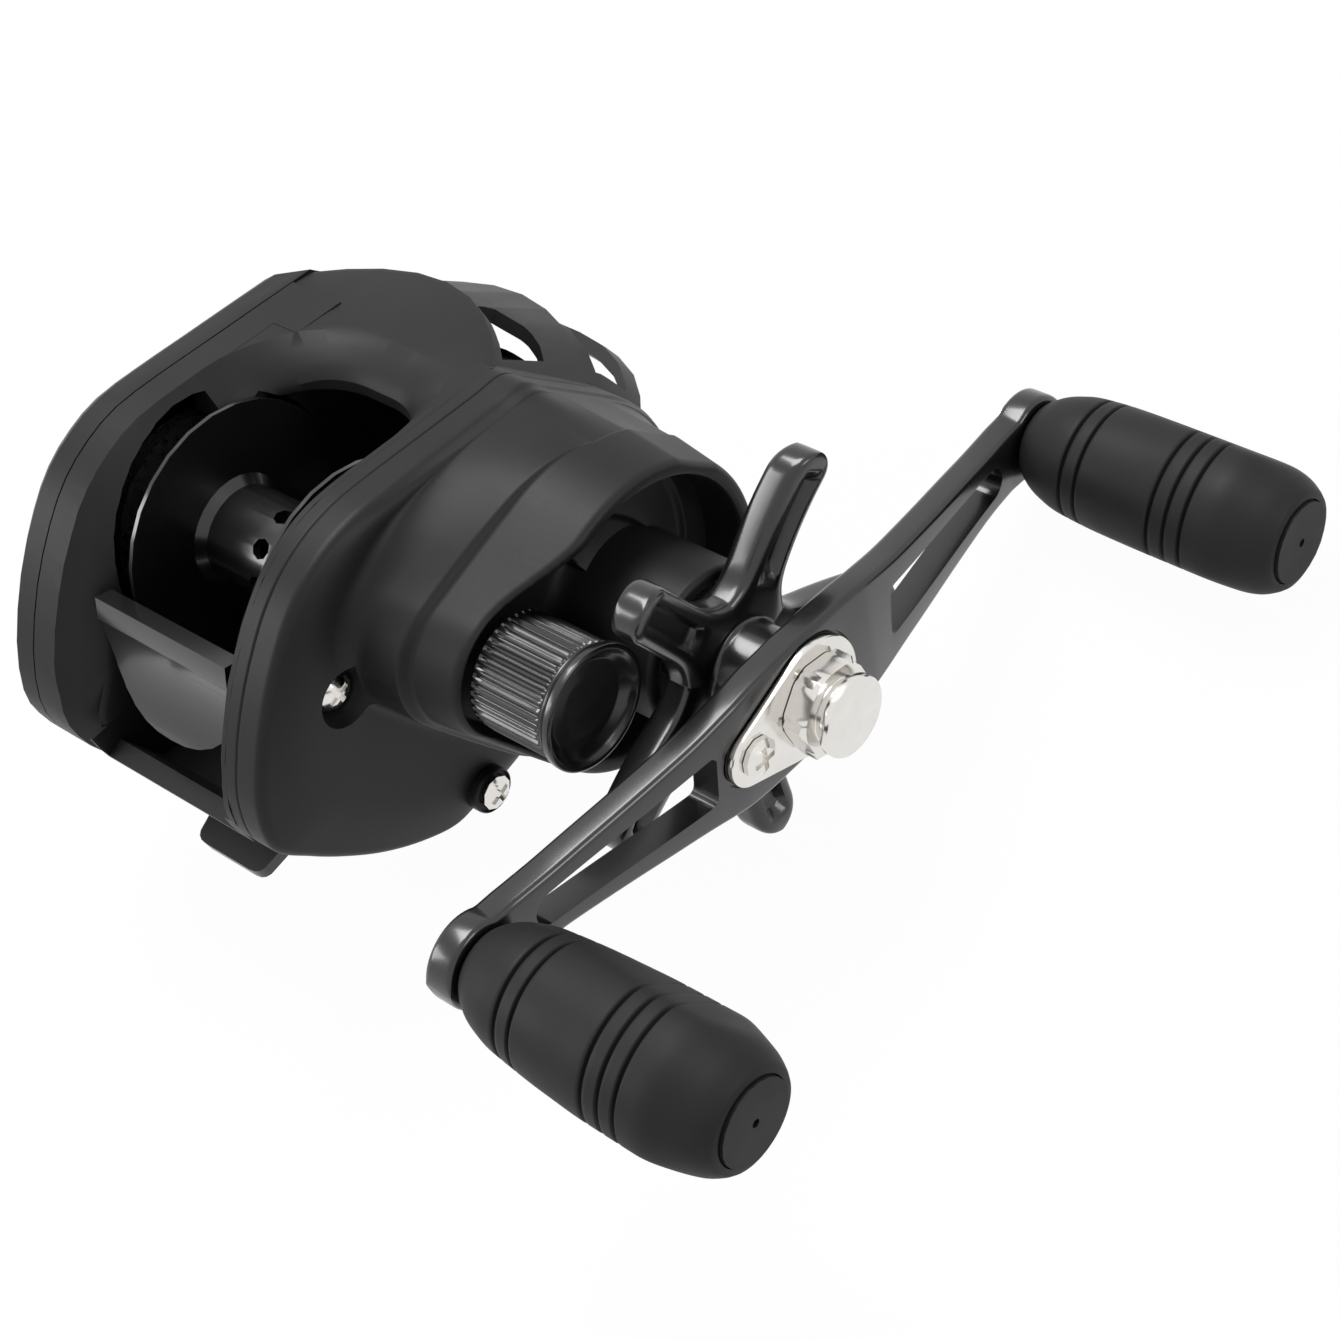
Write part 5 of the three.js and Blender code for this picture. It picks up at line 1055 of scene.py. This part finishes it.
def make_nut():
    """The handle nut: a hexagon whose corners are cut by a cone, r = smaller of the hexagon's and the cone's,
    then a neck and a round nose with a soft edge."""
    seat, face = (corner[0] for corner in box_mm("handle_nut"))
    flat = 6.0 * math.cos(math.pi / 6)
    cone = [(seat, 5.45), (seat + 0.35, 6.0), (seat + 2.55, 6.0), (seat + 3.0, 5.3)]
    nose = [(seat + 3.0, 3.95), (seat + 3.1, 3.85), (seat + 4.05, 3.85), (seat + 4.1, 3.9),
            (seat + 4.1, 4.55), (seat + 4.2, 4.75), (seat + 4.35, 4.8), (face - 0.4, 4.8),
            (face - 0.12, 4.68), (face, 4.4)]
    hexed = np.arange(len(cone + nose))[:, None] < len(cone)

    def radius_at(r, a):
        hexagon = flat / np.cos((a + math.pi / 6) % (math.pi / 3) - math.pi / 6)
        return np.where(hexed, np.minimum(r, hexagon), r)

    piece = closed_skin("nut_skin", turned_rings(cone + nose, 180, SHAFT_AXIS, radius_at))
    stand_for(piece, "handle_nut", "nickel", 28.0)


def make_plate(sizes):
    """The retainer plate: the outline round two circles, with softened edges, turned with the arm."""
    low, high = box_mm("retainer_plate")
    piece = slab("plate_skin", plate_outline(0.0, 60), low[0], high[0], 0.22)
    turn_about_shaft(piece, math.radians(sizes.turn))
    stand_for(piece, "retainer_plate", "nickel", 40.0)


# ------------------------------------------------------ frame and thumb bar

# The plate that fills the mouth's front corners: X of its palm side, how far it runs into the gear side's
# wall, and its first and last length along the crown, the last one counted from the palm corner's end
PLATE_LEFT = -16.5
PLATE_INSIDE = 0.6
PLATE_START = -5.5
PLATE_OVERLAP = 1.5

# The radius that the corner plate leaves free round the spool
SWING_RADIUS = 16.25

# How far the bay's mouth stops short of the crown's end
MOUTH_REST = 2.0

# The mouth's bevel, as shares of its width outside the edge and of its depth below the crown
BEVEL_PROFILE = ((1.5, -0.9), (1.0, 0.0), (0.62, 0.3), (0.3, 0.62), (0.1, 0.88), (0.0, 1.12))

# The thumb bar's top edge as Y and Z, the slope of its outer face in degrees, and the hollow's two ends as X
THUMB_TOP = (-17.2, 35.0)
THUMB_SLOPE = 57
THUMB_ENDS = (-14.0, 12.0)


def welded(node):
    """A copy of a CAD node's mesh with its loose triangles joined at their common points, and the triangles
    that lose a corner by that left out."""
    mesh = frame["nodes"][node].data
    corners = np.empty(len(mesh.loops), int)
    mesh.loops.foreach_get("vertex_index", corners)
    points, where = np.unique(np.round(mesh_points(mesh), 4), axis=0, return_inverse=True)
    faces = where.ravel()[corners].reshape(-1, 3)
    whole = (faces != np.roll(faces, 1, 1)).all(1)
    return piece_of(node + "_copy", points, faces[whole].tolist())


class Crown:
    """The crown's line by its length back from the mouth's start, averaged over a window of points, and its
    outward normal."""

    def __init__(self):
        line = np.asarray(CROWN_LINE, float)
        steps = np.concatenate([[0], np.cumsum(np.hypot(*np.diff(line, axis=0).T))])
        fine = np.linspace(0, steps[-1], 600)
        line = np.stack([np.interp(fine, steps, line[:, k]) for k in (0, 1)], -1)
        pad = 20
        kernel = np.hanning(2 * pad + 1)
        kernel /= kernel.sum()
        before, after = 2 * line[0] - line[pad:0:-1], 2 * line[-1] - line[-2:-pad - 2:-1]
        padded = np.concatenate([before, line, after])
        line = np.stack([np.convolve(padded[:, k], kernel, "valid") for k in (0, 1)], -1)
        slope = np.gradient(line, axis=0)
        slope /= np.linalg.norm(slope, axis=1, keepdims=True)
        self.lengths = fine - steps[MOUTH_START]
        self.line = line
        self.normal = np.stack([slope[:, 1], -slope[:, 0]], -1)
        self.end = self.lengths[-1]

    def points(self, x, length, depth):
        """Points at a place across, a length back from the mouth's start and a depth below the crown."""
        columns = [np.interp(length, self.lengths, part) for part in (*self.line.T, *self.normal.T)]
        return np.stack([x, columns[0] - depth * columns[2], columns[1] - depth * columns[3]], -1)


def bay_loop(sizes, crown):
    """The edge of the bay's mouth on the unrolled crown: up the palm side, round a quarter circle, along the
    arch, round another and down the gear side. Gives x, length and the outward direction at each point."""
    left, right = sizes.palm_corner, sizes.gear_corner
    half, rest = BAY_HALF + CUT_GAP, crown.end - MOUTH_REST
    up, down = np.linspace(rest, left, 60), np.linspace(right, rest, 60)
    turn = np.linspace(0, math.pi / 2, 25)[1:]
    across = np.linspace(-half + left, half - right, 9)[1:-1]
    stretches = [(0 * up - half, up, 0 * up),
                 (-half + left * (1 - np.cos(turn)), left * (1 - np.sin(turn)), turn),
                 (across, 0 * across, 0 * across + math.pi / 2),
                 (half - right * (1 - np.sin(turn)), right * (1 - np.cos(turn)), math.pi / 2 + turn),
                 (0 * down + half, down, 0 * down + math.pi)]
    return (np.concatenate(run) for run in zip(*stretches))


def make_frame(sizes):
    """The frame with a rounded mouth: a plate fills the bay's two front corners, and a cutter whose rings
    follow the mouth's edge bevels it. Each ring stands a share of the bevel's width outside the edge and a
    share of its depth below the crown. The last ring is the mouth itself, just through the plate."""
    crown = Crown()
    piece = welded("frame")
    x, length, heading = bay_loop(sizes, crown)
    right = BAY_HALF + PLATE_INSIDE
    across = np.array([PLATE_LEFT, right, right, PLATE_LEFT])
    depths = np.array([0.05, 0.05, sizes.plate_depth, sizes.plate_depth])
    plate = [crown.points(across, along, depths)
             for along in np.linspace(PLATE_START, sizes.palm_corner + PLATE_OVERLAP, 30)]
    carve(piece, closed_skin("corner_plate", plate), "UNION")
    reach = BAY_HALF - CUT_GAP
    swing = turned_rings([(-reach, SWING_RADIUS), (reach, SWING_RADIUS)], 96, SPOOL_AXIS)
    carve(piece, closed_skin("spool_swing", swing))
    gear_side = smooth_step((heading - 1.9) / 1.1)
    palm_side = 1 - smooth_step(heading / 1.2)

    def blended(arch, palm, gear):
        return arch + (palm - arch) * palm_side + (gear - arch) * gear_side

    fade = smooth_step((crown.end - 1.5 - length) / 9.0)
    width = blended(sizes.arch_bevel, sizes.palm_bevel, sizes.gear_bevel) * (0.5 + 0.5 * fade)
    depth = blended(sizes.arch_depth, sizes.palm_depth, sizes.gear_depth) * (0.45 + 0.55 * fade)
    rings = [crown.points(x - width * outside * np.cos(heading), length - width * outside * np.sin(heading),
                          depth * below) for outside, below in BEVEL_PROFILE]
    rings.append(crown.points(x, length, sizes.plate_depth + 1.2))
    carve(piece, closed_skin("mouth", rings, rungs=True))
    piece.name = "frame_skin"
    stand_for(piece, "frame", "body", 28.0)


def make_thumb_bar(sizes):
    """The thumb bar with its outer face hollowed by a round trough across it, whose axis stands off the
    slope's middle by the trough's radius less its depth."""
    piece = welded("thumb_bar")
    slope = math.radians(THUMB_SLOPE)
    down = np.array([-math.cos(slope), -math.sin(slope)])
    out = np.array([-math.sin(slope), math.cos(slope)])
    off = sizes.thumb_radius - sizes.thumb_hollow
    centre = np.array(THUMB_TOP) + down * sizes.thumb_middle + out * off
    trough = turned_rings([(end, sizes.thumb_radius) for end in THUMB_ENDS], 200, centre)
    carve(piece, closed_skin("trough", trough))
    piece.name = "thumb_bar_skin"
    stand_for(piece, "thumb_bar", "gloss", 24.0)


# ------------------------------------------------------------------- operators

class REEL_OT_dress_nodes(bpy.types.Operator):
    """Gives every CAD node its finish and smooth shading."""

    bl_idname = "reel.dress_nodes"
    bl_label = "Dress the CAD nodes"

    def execute(self, context):
        FINISHES.update(make_finishes(context.scene.reel_look))
        for name, node in frame["nodes"].items():
            wear(node, FINISHES[finish_key(name)])
            soften(node, NODE_ANGLE)
        return {"FINISHED"}


class REEL_OT_knobs(bpy.types.Operator):
    """Makes the two grooved grips."""

    bl_idname = "reel.knobs"
    bl_label = "Knob grips"

    def execute(self, context):
        for node in ("knob_front", "knob_rear"):
            make_knob(node, context.scene.reel_knobs)
        return {"FINISHED"}


class REEL_OT_cover(bpy.types.Operator):
    """Makes the gear side cover."""

    bl_idname = "reel.cover"
    bl_label = "Gear side cover"

    def execute(self, context):
        make_cover(context.scene.reel_cover)
        make_petals(context.scene.reel_cover)
        return {"FINISHED"}


class REEL_OT_frame(bpy.types.Operator):
    """Makes the frame with its rounded mouth, and the thumb bar."""

    bl_idname = "reel.frame"
    bl_label = "Frame"

    def execute(self, context):
        make_frame(context.scene.reel_frame)
        make_thumb_bar(context.scene.reel_frame)
        return {"FINISHED"}


class REEL_OT_star(bpy.types.Operator):
    """Makes the star drag."""

    bl_idname = "reel.star"
    bl_label = "Star drag"

    def execute(self, context):
        make_star(context.scene.reel_star)
        return {"FINISHED"}


class REEL_OT_arm(bpy.types.Operator):
    """Makes the handle arm with its plate and nut."""

    bl_idname = "reel.arm"
    bl_label = "Handle arm"

    def execute(self, context):
        make_arm(context.scene.reel_arm)
        make_plate(context.scene.reel_arm)
        make_nut()
        return {"FINISHED"}


class REEL_OT_cap(bpy.types.Operator):
    """Makes the cast control cap."""

    bl_idname = "reel.cap"
    bl_label = "Cast control cap"

    def execute(self, context):
        make_cap(context.scene.reel_cap)
        return {"FINISHED"}


class REEL_OT_stage(bpy.types.Operator):
    """Makes the floor, the light and the camera."""

    bl_idname = "reel.stage"
    bl_label = "Stage"

    def execute(self, context):
        make_floor()
        make_world(context.scene)
        make_lamps()
        make_camera(context.scene)
        context.scene.view_settings.view_transform = "Standard"
        return {"FINISHED"}


# ----------------------------------------------------------------------- stage

# The floor: how far it lies below the reel and half its width, in millimetres, and the share of it that is
# plain white to the eye, which leaves the rest to its shadow
FLOOR_DROP = 0.6
FLOOR_HALF = 2600.0
FLOOR_GLOW = 0.97

# The strength of the world's light on the object, and each lamp's place and size in metres and power in watts
WORLD_LIGHT = 0.3
LAMPS = [
    ("key", (-0.2, 0.3, 0.75), 0.42, 6.6),
    ("side", (0.75, 0.25, 0.35), 0.3, 1.5),
    ("rear", (-0.6, -0.45, 0.5), 0.35, 3.0),
]
LAMP_AIM = (0.02, 0.0, 0.015)

# The photograph's camera: its place in metres, its axes, and its focal length and picture width in pixels
CAMERA_PLACE = (0.2217, -0.0603, 0.2767)
CAMERA_RIGHT = (0.753665, 0.549758, -0.360217)
CAMERA_UP = (-0.366988, 0.806657, 0.463276)
CAMERA_FORWARD = (-0.545260, 0.216959, -0.809703)
FOCAL_PIXELS = 2959.15
PHOTO_PIXELS = 1340


def seen_straight(board):
    """1 where a camera, glossy or transmitted ray meets the surface, else 0."""
    path = board.node("ShaderNodeLightPath")
    rays = ("Is Camera Ray", "Is Glossy Ray", "Is Transmission Ray")
    camera, glossy, transmitted = (board.wire(path, name) for name in rays)
    return board.maths("MAXIMUM", board.maths("MAXIMUM", camera, glossy), transmitted)


def make_floor():
    """A wide pale floor under the lowest point, which is white to the eye and still holds a faint shadow."""
    low = CAD_BOX[0][2] / MM - FLOOR_DROP
    corners = [(x * FLOOR_HALF, y * FLOOR_HALF, low) for x, y in ((-1, -1), (1, -1), (1, 1), (-1, 1))]
    floor = piece_of("floor", corners, [[0, 1, 2, 3]])
    material = bpy.data.materials.new("finish_floor")
    board = Board(material)
    pale = board.node("ShaderNodeBsdfDiffuse", {"Color": (0.8, 0.8, 0.8, 1.0)})
    white = board.node("ShaderNodeEmission", {"Color": (1.0, 1.0, 1.0, 1.0), "Strength": 1.0})
    mixed = board.node("ShaderNodeMixShader", {0: seen_straight(board) * FLOOR_GLOW, 1: board.wire(pale),
                                               2: board.wire(white)})
    board.node("ShaderNodeOutputMaterial", {"Surface": board.wire(mixed)})
    wear(floor, material)


def make_world(scene):
    """White to the eye and in reflections, and a plainer grey light on the object."""
    world = bpy.data.worlds.new("studio")
    scene.world = world
    board = Board(world)
    plain = board.node("ShaderNodeBackground", {"Color": (1.0, 1.0, 1.0, 1.0), "Strength": WORLD_LIGHT})
    white = board.node("ShaderNodeBackground", {"Color": (1.0, 1.0, 1.0, 1.0), "Strength": 1.0})
    mixed = board.node("ShaderNodeMixShader", {0: seen_straight(board), 1: board.wire(plain),
                                               2: board.wire(white)})
    board.node("ShaderNodeOutputWorld", {"Surface": board.wire(mixed)})


def make_lamps():
    """Square soft lamps round the reel, each aimed at its middle."""
    aim = Vector(LAMP_AIM)
    for name, place, size, power in LAMPS:
        light = bpy.data.lights.new(name, "AREA")
        light.size = size
        light.energy = power
        lamp = bpy.data.objects.new(name, light)
        lamp.location = place
        lamp.rotation_mode = "QUATERNION"
        lamp.rotation_quaternion = (aim - Vector(place)).to_track_quat("-Z", "Y")
        bpy.context.scene.collection.objects.link(lamp)


def make_camera(scene):
    """The photograph's own camera: a long lens from above the handle side."""
    data = bpy.data.cameras.new("photo_camera")
    data.sensor_width = 36.0
    data.lens = FOCAL_PIXELS / PHOTO_PIXELS * data.sensor_width
    data.clip_start = 0.01
    data.clip_end = 20.0
    camera = bpy.data.objects.new("photo_camera", data)
    axes = Matrix((CAMERA_RIGHT, CAMERA_UP, tuple(-part for part in CAMERA_FORWARD))).transposed()
    camera.matrix_world = Matrix.Translation(CAMERA_PLACE) @ axes.to_4x4()
    scene.collection.objects.link(camera)
    scene.camera = camera


# ----------------------------------------------------------------------- panel

class REEL_PT_panel(bpy.types.Panel):
    """Lists the reel's operators and its looks."""

    bl_label = "Reel"
    bl_idname = "REEL_PT_panel"
    bl_space_type = "VIEW_3D"
    bl_region_type = "UI"
    bl_category = "Reel"

    def draw(self, context):
        for operator in OPERATORS:
            self.layout.operator(operator.bl_idname)
        for group in (getattr(context.scene, key) for key in GROUPS):
            for name in group.bl_rna.properties.keys():
                if name not in ("rna_type", "name"):
                    self.layout.prop(group, name)


OPERATORS = (REEL_OT_dress_nodes, REEL_OT_knobs, REEL_OT_frame, REEL_OT_cover, REEL_OT_star, REEL_OT_arm,
             REEL_OT_cap, REEL_OT_stage)
GROUPS = {"reel_look": ReelLook, "reel_knobs": KnobSizes, "reel_frame": FrameSizes, "reel_cover": CoverSizes,
          "reel_star": StarSizes, "reel_arm": ArmSizes, "reel_cap": CapSizes}
CLASSES = (*GROUPS.values(), *OPERATORS, REEL_PT_panel)


def register():
    for made in CLASSES:
        bpy.utils.register_class(made)
    for key, group in GROUPS.items():
        setattr(bpy.types.Scene, key, PointerProperty(type=group))


def unregister():
    for key in GROUPS:
        delattr(bpy.types.Scene, key)
    for made in reversed(CLASSES):
        bpy.utils.unregister_class(made)


def main():
    register()
    for operator in OPERATORS:
        family, name = operator.bl_idname.split(".")
        getattr(getattr(bpy.ops, family), name)()


if __name__ == "__main__":
    main()
